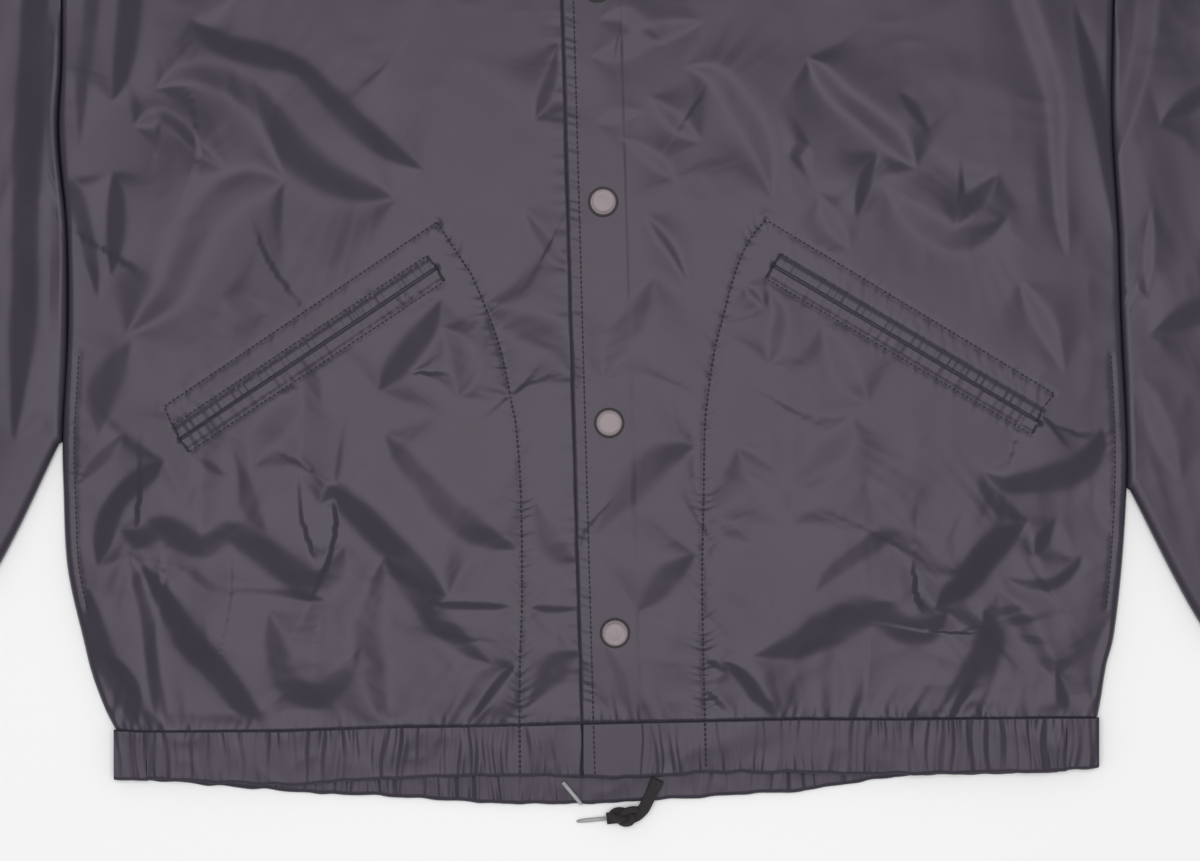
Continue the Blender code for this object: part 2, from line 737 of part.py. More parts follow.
def build_cuff(wearer_side, sleeve_place, finish):
    """An elastic cuff: a short flat tube drawn in to its own width, with pressed gathers round it."""
    start, end = Vector(sleeve_place(0, 1)), Vector(sleeve_place(1, 1))
    across = (end - start).normalized()
    down = Vector((across.y, -across.x)) if wearer_side == "right" else Vector((-across.y, across.x))
    if down.y > 0:
        down = -down
    middle = (start + end) / 2
    count = CUFF_GATHERS * STEPS_PER_GATHER
    outside, inside = [], []
    for row in range(CUFF_ROWS):
        share = row / (CUFF_ROWS - 1)
        centre = middle + down * (SEAM_GAP + share * CUFF_LENGTH)
        half = CUFF_WIDTH / 2
        outer_ring, inner_ring = [], []
        for i in range(count + 1):
            a = i / count
            edge = math.sqrt(max(0.0, 1 - abs(2 * a - 1) ** CUFF_SQUARENESS))
            crown = CUFF_TOP - CUFF_GATHER_DEPTH * (1 - gather(a, CUFF_GATHERS, 0.7))
            top = mix(CUFF_TOP / 2, crown, edge)
            outer_ring.append((*(centre + across * (2 * a - 1) * half), top))
            inset = (2 * a - 1) * (half - WALL)
            inner_ring.append((*(centre + across * inset), max(top - WALL, CUFF_TOP / 2 + 0.3 * edge)))
        for i in range(count // 4, 0, -1):
            a = i / (count // 4 + 1)
            outer_ring.append((*(centre + across * (2 * a - 1) * (half - CUFF_UNDER_INSET)), 0.0))
            inner_ring.append((*(centre + across * (2 * a - 1) * (half - WALL - CUFF_UNDER_INSET)), WALL))
        outside.append(outer_ring)
        inside.append(inner_ring)
    rings(f"cuff_{wearer_side}", outside, finish, inside)


def collar_section(row):
    """The collar's middle surface at one station: up the stand, over the roll and down the fall."""
    seam, roll, edge, angle = Vector(row[0:3]), Vector(row[3:6]), Vector(row[6:9]), math.pi * row[9]
    towards = Vector((math.sin(angle), 0.0, math.cos(angle))) * ROLL_WIDTH
    roll.z -= towards.z / 2
    start = roll + towards
    over = roll + towards / 2 + Vector((0.0, ROLL_WIDTH * 0.5, 0.0))
    fall = start.lerp(edge, 0.5) + Vector((0.0, 0.0, 0.8 * math.cos(angle)))
    return [seam, seam.lerp(roll, 0.5), roll, over, start, fall, edge]


def build_collar(finish):
    """One band that stands up from the neck seam, rolls over and falls to two front points."""
    stations = []
    steps = (len(COLLAR_HALF) - 1) * COLLAR_STEPS
    for i in range(steps + 1):
        stations.append(collar_section(spline(COLLAR_HALF, i / steps)))
    grid = []
    for section in stations:
        grid.append([(centre_x(p.y) - p.x, p.y, p.z) for p in section])
    for section in reversed(stations[:-1]):
        grid.append([(centre_x(p.y) + p.x, p.y, p.z) for p in section])
    mesh = bpy.data.meshes.new("collar")
    rows, columns = len(grid), len(grid[0])
    faces = [
        (r * columns + c, r * columns + c + 1, (r + 1) * columns + c + 1, (r + 1) * columns + c)
        for r in range(rows - 1)
        for c in range(columns - 1)
    ]
    mesh.from_pydata([to_frame(*p) for row in grid for p in row], [], faces)
    mesh.shade_smooth()
    mesh.materials.append(finish)
    made = bpy.data.objects.new("collar", mesh)
    bpy.context.scene.collection.objects.link(made)
    thick = made.modifiers.new("wall", "SOLIDIFY")
    thick.thickness = COLLAR_WALL / 1000
    thick.offset = 0.0
    return made


def surface_of(panel):
    """A function that gives the panel's upper height at a place in the garment's measure."""
    tree = BVHTree.FromObject(panel, bpy.context.evaluated_depsgraph_get())

    def height(x, y):
        hit = tree.ray_cast(to_frame(x, y, 60.0), Vector((0, 0, -1)))
        return hit[0].z * 1000

    return height


def build_welts(wearer_side, panel, finish):
    """The two lips of a pocket, laid on the front from its own points, with the slit between them."""
    inner_x, inner_y, outer_x, outer_y = POCKETS[wearer_side]
    along = Vector((outer_x - inner_x, outer_y - inner_y)).normalized()
    up = Vector((-along.y, along.x))
    if up.y < 0:
        up = -up
    height = surface_of(panel)
    for name, start, end in (
        ("upper", SLIT_HALF, SLIT_HALF + WELT_WIDTH),
        ("lower", -SLIT_HALF - WELT_WIDTH, -SLIT_HALF),
    ):
        grid = []
        for i in range(WELT_STEPS + 1):
            share = i / WELT_STEPS
            x, y = mix(inner_x, outer_x, share), mix(inner_y, outer_y, share)
            row = []
            for j in range(3):
                place = Vector((x, y)) + up * mix(start, end, j / 2)
                z = height(*place) + WELT_CLEARANCE + WELT_THICKNESS
                row.append((*place, z))
            grid.append(row)
        wall_between(f"pocket_welt_{name}_{wearer_side}", grid, dropped(grid, WELT_THICKNESS), finish)


def build_snaps(panel, finish):
    """Round ring-snap caps down the overlap, each seated on the highest cloth under it."""
    height = surface_of(panel)
    radius = SNAP_DIAMETER / 2
    for number, y in enumerate(SNAP_HEIGHTS, start=1):
        x = centre_x(y)
        angles = [2 * math.pi * k / SNAP_SIDES for k in range(SNAP_SIDES)]
        base = height(x, y)
        for reach in (radius, radius / 2):
            around = [height(x + reach * math.cos(a), y + reach * math.sin(a)) for a in angles]
            base = max(base, *around)
        base += SEAM_GAP
        sections = [
            [(x + radius * r * math.cos(a), y + radius * r * math.sin(a), base + z) for a in angles]
            for r, z in SNAP_PROFILE
        ]
        rings(f"snap_{number}", sections, finish)


def build_cord(finish):
    """The free end of the drawcord from the hem to its knot, a flat cord."""
    count = len(CORD_ROUTE) - 1
    curve = bpy.data.curves.new("drawcord", "CURVE")
    curve.dimensions = "3D"
    curve.twist_mode = "Z_UP"
    curve.bevel_depth = CORD_THICKNESS / 2000
    curve.bevel_resolution = 2
    curve.extrude = (CORD_WIDTH - CORD_THICKNESS) / 2000
    curve.use_fill_caps = True
    line = curve.splines.new("POLY")
    line.points.add(count)
    for i, point in enumerate(line.points):
        point.co = (*to_frame(*spline(CORD_ROUTE, i / count)), 1.0)
        point.tilt = math.pi / 2
    made = bpy.data.objects.new("drawcord", curve)
    bpy.context.scene.collection.objects.link(made)
    curve.materials.append(finish)


def build_knot(finish):
    """The overhand knot that stops the cord, as one lumpy solid that rests on the surface."""
    sections = []
    for i in range(KNOT_STEPS + 1):
        along = mix(-KNOT_END, KNOT_END, i / KNOT_STEPS)
        girth = math.sqrt(1 - along * along) * (0.86 + 0.14 * math.cos(along * 9.0))
        section = []
        for k in range(KNOT_SIDES):
            angle = 2 * math.pi * k / KNOT_SIDES
            lump = 1 + 0.08 * math.sin(3 * angle + 5 * along)
            local = Vector((
                along * KNOT_SIZE[0] / 2,
                girth * lump * math.cos(angle) * KNOT_SIZE[1] / 2,
                girth * math.sin(angle) * KNOT_SIZE[2] / 2,
            ))
            x = local.x * math.cos(KNOT_LEAN) - local.y * math.sin(KNOT_LEAN)
            y = local.x * math.sin(KNOT_LEAN) + local.y * math.cos(KNOT_LEAN)
            section.append((KNOT_CENTRE[0] + x, KNOT_CENTRE[1] - y, max(KNOT_CENTRE[2] + local.z, 0.1)))
        sections.append(section)
    rings("cord_knot", sections, finish)


def build_tips(finish):
    """The slim tips crimped on the cord's ends."""
    for name, (start, end) in TIPS.items():
        start, end = Vector(start), Vector(end)
        run = (end - start).normalized()
        side = run.cross(Vector((0, 0, 1))).normalized()
        up = side.cross(run)
        sections = []
        for share, radius in TIP_PROFILE:
            centre = start + run * TIP_LENGTH * share
            ring = []
            for k in range(TIP_SIDES):
                angle = 2 * math.pi * k / TIP_SIDES
                offset = side * math.cos(angle) + up * math.sin(angle)
                ring.append(tuple(centre + offset * TIP_RADIUS * radius))
            sections.append(ring)
        rings(name, sections, finish)


def main():
    for old in list(bpy.data.objects):
        bpy.data.objects.remove(old)
    nylon = material("nylon", NYLON, 0.45)
    nylon_hem = material("nylon_hem", NYLON_DARK, 0.45)
    metal = material("snap_metal", SNAP_METAL, 0.35, 0.8)
    cord = material("cord_black", CORD_BLACK, 0.8)
    tip = material("tip_grey", TIP_GREY, 0.3)

    build_back(nylon)
    left_front, right_front = build_fronts(nylon)
    build_hems(nylon_hem)
    for wearer_side, panel in (("right", right_front), ("left", left_front)):
        place = build_sleeve(wearer_side, nylon)
        build_cuff(wearer_side, place, nylon_hem)
        build_welts(wearer_side, panel, nylon)
    build_collar(nylon)
    build_snaps(left_front, metal)
    build_cord(cord)
    build_knot(cord)
    build_tips(tip)


main()
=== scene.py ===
"""The looks of a coach jacket in thin nylon, laid flat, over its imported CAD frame.

Sizes are in millimetres in the garment's own measure, as in the part's source: x from the middle of the
view, y from the lower edge of the front hem and z up from the surface. to_frame() makes them metres in the
frame.
"""

import bpy
import numpy as np
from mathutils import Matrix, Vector


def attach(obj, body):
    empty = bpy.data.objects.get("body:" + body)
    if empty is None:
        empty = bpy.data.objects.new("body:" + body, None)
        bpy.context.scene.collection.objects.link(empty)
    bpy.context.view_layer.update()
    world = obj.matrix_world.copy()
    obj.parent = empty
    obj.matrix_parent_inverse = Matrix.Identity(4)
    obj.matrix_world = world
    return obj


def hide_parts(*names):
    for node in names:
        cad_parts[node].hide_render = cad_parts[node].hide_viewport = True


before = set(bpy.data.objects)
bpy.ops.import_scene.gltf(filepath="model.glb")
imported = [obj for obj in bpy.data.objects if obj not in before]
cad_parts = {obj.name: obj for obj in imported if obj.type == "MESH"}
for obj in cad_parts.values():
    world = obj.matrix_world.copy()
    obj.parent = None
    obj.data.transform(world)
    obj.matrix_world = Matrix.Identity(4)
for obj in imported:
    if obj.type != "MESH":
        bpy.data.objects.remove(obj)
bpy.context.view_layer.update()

# The middle of the garment's box, which is zero in the frame
BOX_MIDDLE = (-0.9, 372.7)

# The photograph's frame, which the camera sees from straight above
VIEW_WIDTH = 624.0
VIEW_MIDDLE = (0.0, 180.7)
LENS = 85.0
SENSOR = 36.0

# The studio, in metres and watts: one softbox over a pale table in a pale room
SOFTBOX_SIZE = (1.45, 1.15)
SOFTBOX_PLACE = (-0.05, -0.16, 1.9)
SOFTBOX_POWER = 23.5
ROOM_LIGHT = 0.45
TABLE_SIZE = 6.0
TABLE_DROP = 0.0005

# Layers, from the surface upwards, and how the fronts round off towards the sides and shoulders
BACK_TOP = 2.0
FRONT_TOP = 7.2
SIDE_LOW = 2.3
FRONT_LEAST = 3.1
SIDE_ROUNDING = 3.6
SHOULDER_REACH = 520.0
CHEST_Y = 420.0
SEAM_GAP = 0.3
SEAM_DIP = 1.0
SEAM_DIP_WIDTH = 1.2

# Front closure: the leaning centre line, the front edge beside it, and how the two fronts lap
CENTRE_AT_HEM = 9.9
CENTRE_LEAN = -0.0277
OVERLAP_EDGE = 18.5
UNDERLAP = 14.0
OVERLAP_STEP = 1.3
EDGE_ROLL = 0.6

# Neck and shoulders
NECK_HALF_WIDTH = 82.0
SHOULDER_Y = 735.0
FRONT_NECK_Y = 648.0
BACK_NECK_Y = 717.0
# The neckline's share of a front's top, the side seam's of its outer edge, and the closure's of its width
NECK_SHARE = 0.36
SIDE_SHARE = 0.6
CLOSURE_SHARE = 0.09

# The side edges from the hem seam to the underarm: y, left x, right x
SIDE_EDGES = (
    (27.0, -252.9, 259.6),
    (38.0, -258.4, 261.5),
    (55.0, -264.8, 264.2),
    (72.0, -269.2, 268.3),
    (110.0, -277.7, 272.5),
    (150.0, -279.9, 274.8),
    (181.0, -280.3, 274.6),
    (233.0, -277.7, 272.0),
    (285.0, -278.2, 270.4),
    (335.0, -282.4, 267.5),
    (375.0, -280.8, 267.4),
    (430.0, -281.0, 269.0),
)

# The armhole seams from the underarm to the shoulder, in the same columns
ARMHOLES = (
    (430.0, -281.0, 269.0),
    (462.0, -266.0, 254.0),
    (520.0, -250.0, 238.0),
    (590.0, -246.0, 232.0),
    (640.0, -249.0, 233.0),
    (690.0, -254.5, 237.0),
)

# The hem: x, seam y, lower edge of the fronts, lower edge of the back
HEM_LINES = (
    (-253.0, 24.6, -1.0, -1.0),
    (-234.0, 23.6, -1.2, -1.8),
    (-163.0, 24.0, -4.4, -7.6),
    (-104.0, 26.0, -0.4, -10.6),
    (-62.0, 26.4, 0.8, -13.5),
    (-18.0, 27.6, 0.4, -14.5),
    (8.0, 28.2, -0.8, -13.4),
    (58.0, 29.2, 2.6, -10.4),
    (104.0, 30.2, 2.3, -7.6),
    (154.0, 30.0, 1.4, 0.2),
    (239.0, 31.0, 3.2, 2.6),
    (260.5, 31.0, 5.6, 5.6),
)
BACK_SEAM_DROP = 13.0
HEM_WRAP = 17.0
WRAP_GAP = 0.1
SEAM_LAP = 0.5
HEM_FLOOR = 4.5
HEM_SLACK = 1.2
HEM_LUMPS = 0.7
HEM_EDGE_WAVE = 0.6
UNDERLAP_DIP = 1.2
# The flat stretch of the hem at the closure: its middle and half its width
FLAT_HEM = (7.0, 16.0)
# The casings: where their gathers start, and how high their crowns lie
LEFT_HEM = (0.4, 8.9)
RIGHT_HEM = (1.9, 8.1)
BACK_HEM = (3.1, 4.2)
WRAP_CROWN = 8.4

# The photograph's scale and the pixel column and row of the garment's own zero
MM_PER_PIXEL = 0.52
PHOTO_ZERO = (600.0, 778.0)

# Slopes of the photographed cloth, where it steps from one level to another. Each is a smooth path through
# places in the photograph. Columns: steepness, positive where the cloth is higher to the left of the run,
# and the path. The path's columns are its pixel column, its pixel row and the slope's width there in pixels
PHOTO_SLOPES = (
    (1.0, ((157, 88, 0), (184, 74, 20), (214, 76, 26), (245, 90, 28), (268, 115, 34), (292, 150, 42),
           (325, 176, 42), (360, 190, 30), (397, 198, 0))),
    (-0.8, ((191, 20, 0), (205, 35, 16), (230, 48, 20), (262, 56, 22), (300, 68, 16), (326, 94, 20),
            (358, 126, 24), (392, 152, 20), (424, 170, 0))),
    (-1.1, ((284, 180, 0), (264, 183, 28), (238, 188, 38), (214, 205, 42), (196, 230, 42), (182, 262, 40),
            (172, 290, 34), (152, 312, 20), (126, 336, 0))),
    (1.0, ((134, 126, 0), (148, 120, 14), (162, 116, 12), (180, 128, 14), (200, 148, 10), (229, 172, 0))),
    (1.0, ((142, -110, 0), (134, -50, 20), (128, 25, 26), (121, 75, 18), (112, 102, 0))),
    (1.1, ((114, 172, 0), (117, 195, 16), (116, 240, 18), (111, 276, 0))),
    (0.7, ((100, -90, 0), (94, -30, 18), (88, 40, 18), (82, 90, 14), (80, 150, 0))),
    (0.9, ((70, 178, 0), (76, 196, 20), (84, 225, 18), (92, 262, 14), (98, 300, 0))),
    (0.5, ((132, 340, 0), (114, 368, 28), (102, 400, 30), (98, 436, 0))),
    (1.0, ((534, 120, 0), (543, 100, 16), (552, 75, 14), (558, 42, 0))),
    (0.8, ((522, 206, 0), (534, 226, 10), (550, 248, 14), (572, 274, 0))),
    (0.8, ((486, 304, 0), (510, 320, 28), (535, 330, 34), (560, 342, 30), (576, 366, 20), (580, 390, 0))),
    (0.9, ((442, 298, 0), (428, 325, 24), (410, 350, 30), (392, 372, 26), (378, 392, 0))),
    (0.8, ((442, 328, 0), (458, 348, 24), (465, 374, 26), (458, 398, 0))),
    (0.5, ((220, 298, 0), (242, 306, 18), (268, 312, 0))),
    (0.5, ((300, 356, 0), (312, 380, 18), (322, 406, 0))),
    (1.1, ((164, 460, 0), (150, 472, 20), (134, 484, 22), (118, 500, 20), (108, 520, 22), (102, 545, 16),
           (98, 566, 0))),
    (0.8, ((74, 489, 0), (90, 470, 12), (107, 452, 14), (124, 432, 0))),
    (1.0, ((120, 528, 0), (140, 538, 22), (160, 528, 24), (180, 536, 30), (202, 548, 26), (228, 532, 24),
           (255, 545, 32), (285, 568, 34), (315, 584, 34), (335, 570, 26), (346, 543, 0))),
    (0.7, ((142, 560, 0), (184, 568, 10), (214, 588, 12), (250, 590, 8), (300, 596, 10), (328, 602, 0))),
    (0.7, ((252, 468, 0), (260, 442, 26), (276, 424, 30), (292, 404, 22), (302, 388, 0))),
    (0.6, ((233, 450, 0), (244, 480, 14), (252, 510, 20), (268, 532, 0))),
    (1.2, ((320, 506, 0), (334, 492, 18), (350, 505, 28), (370, 525, 32), (392, 548, 32), (415, 568, 30),
           (436, 588, 16), (448, 598, 0))),
    (0.8, ((384, 434, 0), (400, 454, 22), (422, 480, 26), (446, 508, 32), (476, 532, 30), (505, 545, 12),
           (520, 548, 0))),
    (-1.1, ((384, 556, 0), (378, 578, 14), (375, 602, 24), (370, 628, 34), (370, 655, 36), (376, 684, 28),
            (382, 712, 16), (386, 732, 6))),
    (0.8, ((384, 558, 0), (402, 580, 18), (422, 602, 24), (442, 624, 26), (466, 648, 18), (492, 664, 0))),
    (0.7, ((268, 610, 0), (274, 640, 22), (282, 670, 26), (300, 692, 26), (325, 692, 24), (346, 672, 20),
           (360, 648, 0))),
    (1.1, ((142, 564, 0), (153, 583, 15), (172, 614, 24), (192, 645, 28), (214, 667, 26), (237, 697, 26),
           (250, 714, 20), (262, 732, 6))),
    (-1.2, ((128, 554, 0), (137, 580, 14), (146, 610, 16), (150, 640, 16), (153, 668, 14), (158, 700, 14),
            (164, 730, 8))),
    (0.8, ((88, 588, 0), (94, 620, 18), (105, 660, 22), (122, 695, 20), (142, 730, 8))),
    (0.9, ((102, 654, 0), (120, 668, 12), (135, 690, 12), (150, 726, 6))),
    (-1.6, ((468, 728, 4), (487, 700, 10), (503, 678, 9), (519, 661, 0))),
    (0.7, ((528, 706, 0), (545, 680, 26), (562, 662, 28), (578, 648, 0))),
    (0.6, ((534, 498, 0), (544, 530, 22), (560, 554, 26), (578, 566, 0))),
    (1.1, ((428, 602, 0), (452, 605, 8), (490, 606, 7), (520, 607, 0))),
    (0.9, ((526, 606, 0), (548, 609, 8), (578, 609, 0))),
    (0.8, ((193, 454, 0), (210, 466, 10), (231, 479, 0))),
    (1.2, ((808, 58, 0), (820, 72, 16), (838, 94, 20), (860, 112, 22), (880, 128, 24), (898, 145, 22),
           (916, 168, 0))),
    (-0.7, ((898, 92, 0), (912, 108, 10), (930, 134, 0))),
    (-1.1, ((878, 152, 0), (868, 172, 13), (862, 190, 14), (856, 218, 0))),
    (0.8, ((884, 184, 0), (908, 210, 20), (930, 228, 26), (955, 240, 28), (982, 234, 20), (1008, 216, 0))),
    (1.0, ((998, 172, 0), (982, 192, 18), (970, 205, 18), (955, 230, 0))),
    (0.9, ((686, 66, 0), (716, 76, 18), (738, 104, 26), (754, 130, 28), (764, 155, 20), (773, 198, 0))),
    (0.9, ((648, 96, 0), (664, 112, 12), (680, 126, 16), (702, 142, 0))),
    (0.8, ((618, 136, 0), (645, 152, 10), (660, 164, 12), (678, 182, 0))),
    (1.3, ((644, 214, 0), (658, 232, 9), (674, 254, 9), (692, 292, 0))),
    (0.9, ((654, 276, 0), (642, 304, 22), (626, 332, 30), (612, 355, 20), (604, 380, 0))),
    (1.0, ((1000, -90, 0), (1018, -20, 16), (1038, 40, 18), (1050, 78, 16), (1056, 112, 14),
           (1058, 170, 10), (1062, 222, 8), (1068, 258, 0))),
    (-1.1, ((1074, 6, 0), (1088, 60, 12), (1102, 126, 14), (1112, 188, 12), (1122, 254, 0))),
    (0.9, ((1020, 280, 0), (1034, 305, 14), (1048, 330, 16), (1064, 372, 0))),
    (0.8, ((818, 194, 0), (828, 214, 14), (838, 232, 12), (850, 250, 0))),
    (0.7, ((788, 155, 0), (798, 150, 14), (810, 146, 0))),
    (1.2, ((744, 284, 0), (754, 294, 8), (766, 309, 0))),
    (0.9, ((768, 288, 0), (780, 312, 14), (776, 345, 16), (768, 366, 0))),
    (0.7, ((822, 326, 0), (836, 348, 20), (850, 380, 22), (868, 404, 0))),
    (0.8, ((590, 56, 0), (618, 52, 18), (650, 36, 20), (676, 28, 14), (704, 22, 0))),
    (0.7, ((598, 20, 0), (622, 14, 14), (640, 26, 14), (668, 46, 0))),
    (0.7, ((594, 124, 0), (616, 116, 12), (644, 112, 0))),
    (0.7, ((814, 594, 0), (828, 576, 14), (850, 558, 20), (876, 540, 22), (893, 533, 20), (912, 548, 22),
           (935, 566, 18), (962, 573, 0))),
    (1.2, ((936, 608, 0), (950, 594, 22), (966, 580, 28), (985, 556, 30), (1005, 536, 26), (1028, 522, 0))),
    (1.0, ((1032, 560, 0), (1042, 540, 14), (1056, 518, 0))),
    (0.9, ((1002, 574, 0), (1025, 584, 10), (1052, 584, 12), (1074, 568, 8), (1082, 553, 0))),
    (0.9, ((982, 470, 0), (1004, 484, 18), (1030, 482, 26), (1058, 476, 32), (1082, 466, 28),
           (1098, 445, 16), (1102, 428, 0))),
    (0.7, ((738, 446, 0), (756, 466, 24), (774, 494, 30), (786, 526, 0))),
    (-0.7, ((790, 524, 0), (802, 494, 34), (822, 466, 36), (842, 440, 26), (852, 416, 0))),
    (0.8, ((750, 656, 0), (790, 648, 26), (830, 628, 36), (858, 612, 36), (880, 612, 30), (905, 630, 30),
           (930, 628, 28), (948, 612, 0))),
    (-0.9, ((984, 608, 0), (992, 635, 26), (980, 662, 28), (962, 690, 26), (948, 712, 16), (940, 730, 6))),
    (0.9, ((1000, 590, 0), (1014, 612, 18), (1030, 635, 20), (1046, 660, 14), (1054, 680, 0))),
    (0.8, ((596, 536, 0), (612, 512, 20), (630, 488, 34), (655, 462, 36), (680, 450, 20), (696, 446, 0))),
    (0.8, ((638, 612, 0), (652, 596, 22), (668, 576, 28), (688, 560, 12), (696, 552, 0))),
    (1.4, ((724, 660, 0), (736, 670, 10), (750, 685, 14), (762, 705, 14), (778, 726, 6))),
    (1.5, ((704, 687, 0), (718, 703, 7), (735, 722, 4))),
    (1.2, ((702, 657, 0), (714, 664, 7), (726, 673, 0))),
    (-1.0, ((1056, 670, 0), (1062, 698, 12), (1066, 728, 8))),
    (0.6, ((710, 518, 0), (730, 530, 16), (752, 544, 0))),
    (0.4, ((866, 478, 0), (880, 495, 20), (896, 510, 18), (906, 528, 0))),
    (0.7, ((1094, 486, 0), (1106, 512, 12), (1120, 546, 0))),
    (0.7, ((836, 650, 0), (842, 680, 12), (838, 716, 0))),
    (0.8, ((1112, 614, 0), (1102, 656, 12), (1094, 702, 0))),
    (0.6, ((602, 640, 0), (616, 668, 12), (628, 700, 14), (632, 728, 4))),
    (0.9, ((60, -200, 0), (46, -110, 24), (38, -20, 30), (34, 60, 30), (28, 160, 30), (26, 260, 26),
           (22, 340, 24), (14, 440, 0))),
    (0.7, ((62, -90, 0), (58, -10, 10), (58, 70, 12), (60, 160, 14), (58, 260, 12), (52, 350, 0))),
    (0.5, ((16, 444, 0), (34, 418, 14), (62, 382, 0))),
    (0.9, ((1136, -160, 0), (1146, -80, 16), (1148, -10, 18), (1140, 60, 18), (1128, 110, 14),
           (1116, 160, 0))),
    (1.1, ((1116, 284, 0), (1132, 294, 9), (1150, 304, 0))),
    (0.9, ((1151, 206, 0), (1149, 250, 8), (1147, 296, 0))),
    (0.8, ((1160, 124, 0), (1180, 110, 16), (1212, 88, 16), (1250, 66, 0))),
    (0.8, ((1150, 334, 0), (1176, 322, 22), (1212, 304, 24), (1262, 290, 0))),
    (0.7, ((1136, 372, 0), (1152, 410, 16), (1166, 446, 16), (1180, 480, 0))),
)
# A slope of steepness 1 rises so many millimetres a millimetre. Beyond its edge the cloth comes back over
# so many half widths, and a slope reaches no further than so many
SLOPE_STEEPNESS = 0.27
SLOPE_RETURN = 3.2
SLOPE_REACH = 9.0
THINNEST_SLOPE = 0.4
MOST_RELIEF = 5.0
# The small creases between them: their width, how far and how widely they are bent, their height, and what
# the lower body has more
CRUMPLE_WIDTH = 30.0
CRUMPLE_BEND = 9.0
BEND_WIDTH = 40.0
CRUMPLE_HEIGHT = 0.35
LOWER_CRUMPLE = 0.4
LOWER_BODY_Y = 190.0
# Cells of the noise's square lattice, more than the garment spans
LATTICE_CELLS = 95
# How far a pucker leans along its seam for each millimetre away from it, and the groove along the seam
PUCKER_LEAN = 0.6
SEAM_GROOVE = 0.35
GROOVE_WIDTH = 1.1
# The puckers of each seam. Columns: how far they reach, their height and their pitch
BAG_PUCKERS = (5.4, 0.4, 5.6)
UPPER_LINE_PUCKERS = (4.5, 0.28, 5.2)
BOX_TOP_PUCKERS = (4.5, 0.3, 5.6)
BOX_FOOT_PUCKERS = (4.0, 0.2, 8.0)
SIDE_PUCKERS = (4.0, 0.2, 8.0)
HEM_SHORT_PUCKERS = (5.0, 0.55, 8.0)
HEM_TALL_PUCKERS = (17.0, 0.75, 21.0)
# The fine and the wide gathers of the hem: their pitch
HEM_GATHERS = (6.4, 13.0)

# Slopes of the upper fronts, guessed, in the same columns: their pixels lie above the photograph
UPPER_SLOPES = (
    (0.8, ((196, -30, 0), (214, -96, 20), (244, -150, 30), (286, -196, 30), (330, -228, 18),
           (366, -244, 0))),
    (-0.8, ((290, -34, 0), (328, -80, 20), (372, -112, 30), (420, -128, 24), (470, -134, 0))),
    (0.7, ((270, -300, 0), (300, -260, 22), (330, -206, 26), (350, -150, 18), (362, -104, 0))),
    (1.0, ((160, -210, 0), (168, -160, 18), (168, -100, 20), (160, -50, 14), (152, -10, 0))),
    (-0.7, ((452, -300, 0), (462, -240, 16), (486, -190, 20), (520, -150, 14), (548, -126, 0))),
    (0.6, ((300, -400, 0), (336, -366, 20), (380, -340, 24), (430, -322, 0))),
    (-0.8, ((1000, -30, 0), (978, -90, 20), (942, -146, 30), (896, -188, 28), (848, -214, 18),
            (812, -226, 0))),
    (0.9, ((706, -160, 0), (738, -122, 20), (768, -76, 28), (790, -36, 18), (800, -4, 0))),
    (-0.7, ((900, -310, 0), (872, -268, 20), (850, -214, 24), (838, -160, 16), (832, -112, 0))),
    (1.0, ((1066, -200, 0), (1056, -140, 16), (1056, -90, 20), (1066, -44, 14), (1078, 0, 0))),
    (0.7, ((690, -310, 0), (684, -250, 16), (700, -196, 20), (730, -156, 14), (760, -130, 0))),
    (-0.6, ((960, -400, 0), (920, -372, 20), (876, -352, 22), (828, -340, 0))),
)

# Sleeve plans, down to the cuff seam
SLEEVE_EDGES = {
    -1: {
        "outer": ((-255.0, 690.0), (-303.0, 622.0), (-342.0, 535.0), (-371.0, 440.0),
                  (-398.0, 340.0), (-424.0, 240.0), (-443.0, 165.0), (-438.6, 116.0)),
        "inner": ((-281.8, 174.0), (-318.0, 103.0), (-348.0, 83.0)),
    },
    1: {
        "outer": ((237.5, 690.0), (288.0, 622.0), (330.0, 535.0), (362.0, 440.0),
                  (391.0, 340.0), (418.0, 240.0), (438.0, 163.0), (433.0, 109.0)),
        "inner": ((276.0, 150.0), (318.0, 73.0), (346.0, 69.0)),
    },
}
# The wearer's sides by the sign of their x
WEARER_SIDES = {-1: "right", 1: "left"}
# Where the inner edge leaves the body, as a share of the length, and the armhole's share of the upper end
INNER_TURN = 0.62
ARMHOLE_FADE = 9
ARMHOLE_SHARE = 0.85
OPENING_LOW = 396.0
UNDERARM_BULGE = 14.0
SLEEVE_CLEAR = -0.3
# A sleeve's levels: usual top, top at the cuff, lowest and highest top, rounded edge and underside
SLEEVE_TOP = 7.4
SLEEVE_END_TOP = 6.0
SLEEVE_RANGE = (4.0, 11.0)
SLEEVE_EDGE = 3.4
SLEEVE_UNDER = 0.2
SLEEVE_ROUNDING = 3.2
SLEEVE_GATHER = 9.0
SLEEVE_GATHER_HEIGHT = 1.2
LONG_FOLD_HEIGHT = 1.5
SLEEVE_CRUMPLE = 0.6

CUFF_LENGTH = 45.0
CUFF_WIDTH = 90.0
CUFF_TOP = 7.0
CUFF_CLEAR = 0.2
CUFF_GATHERS = 13

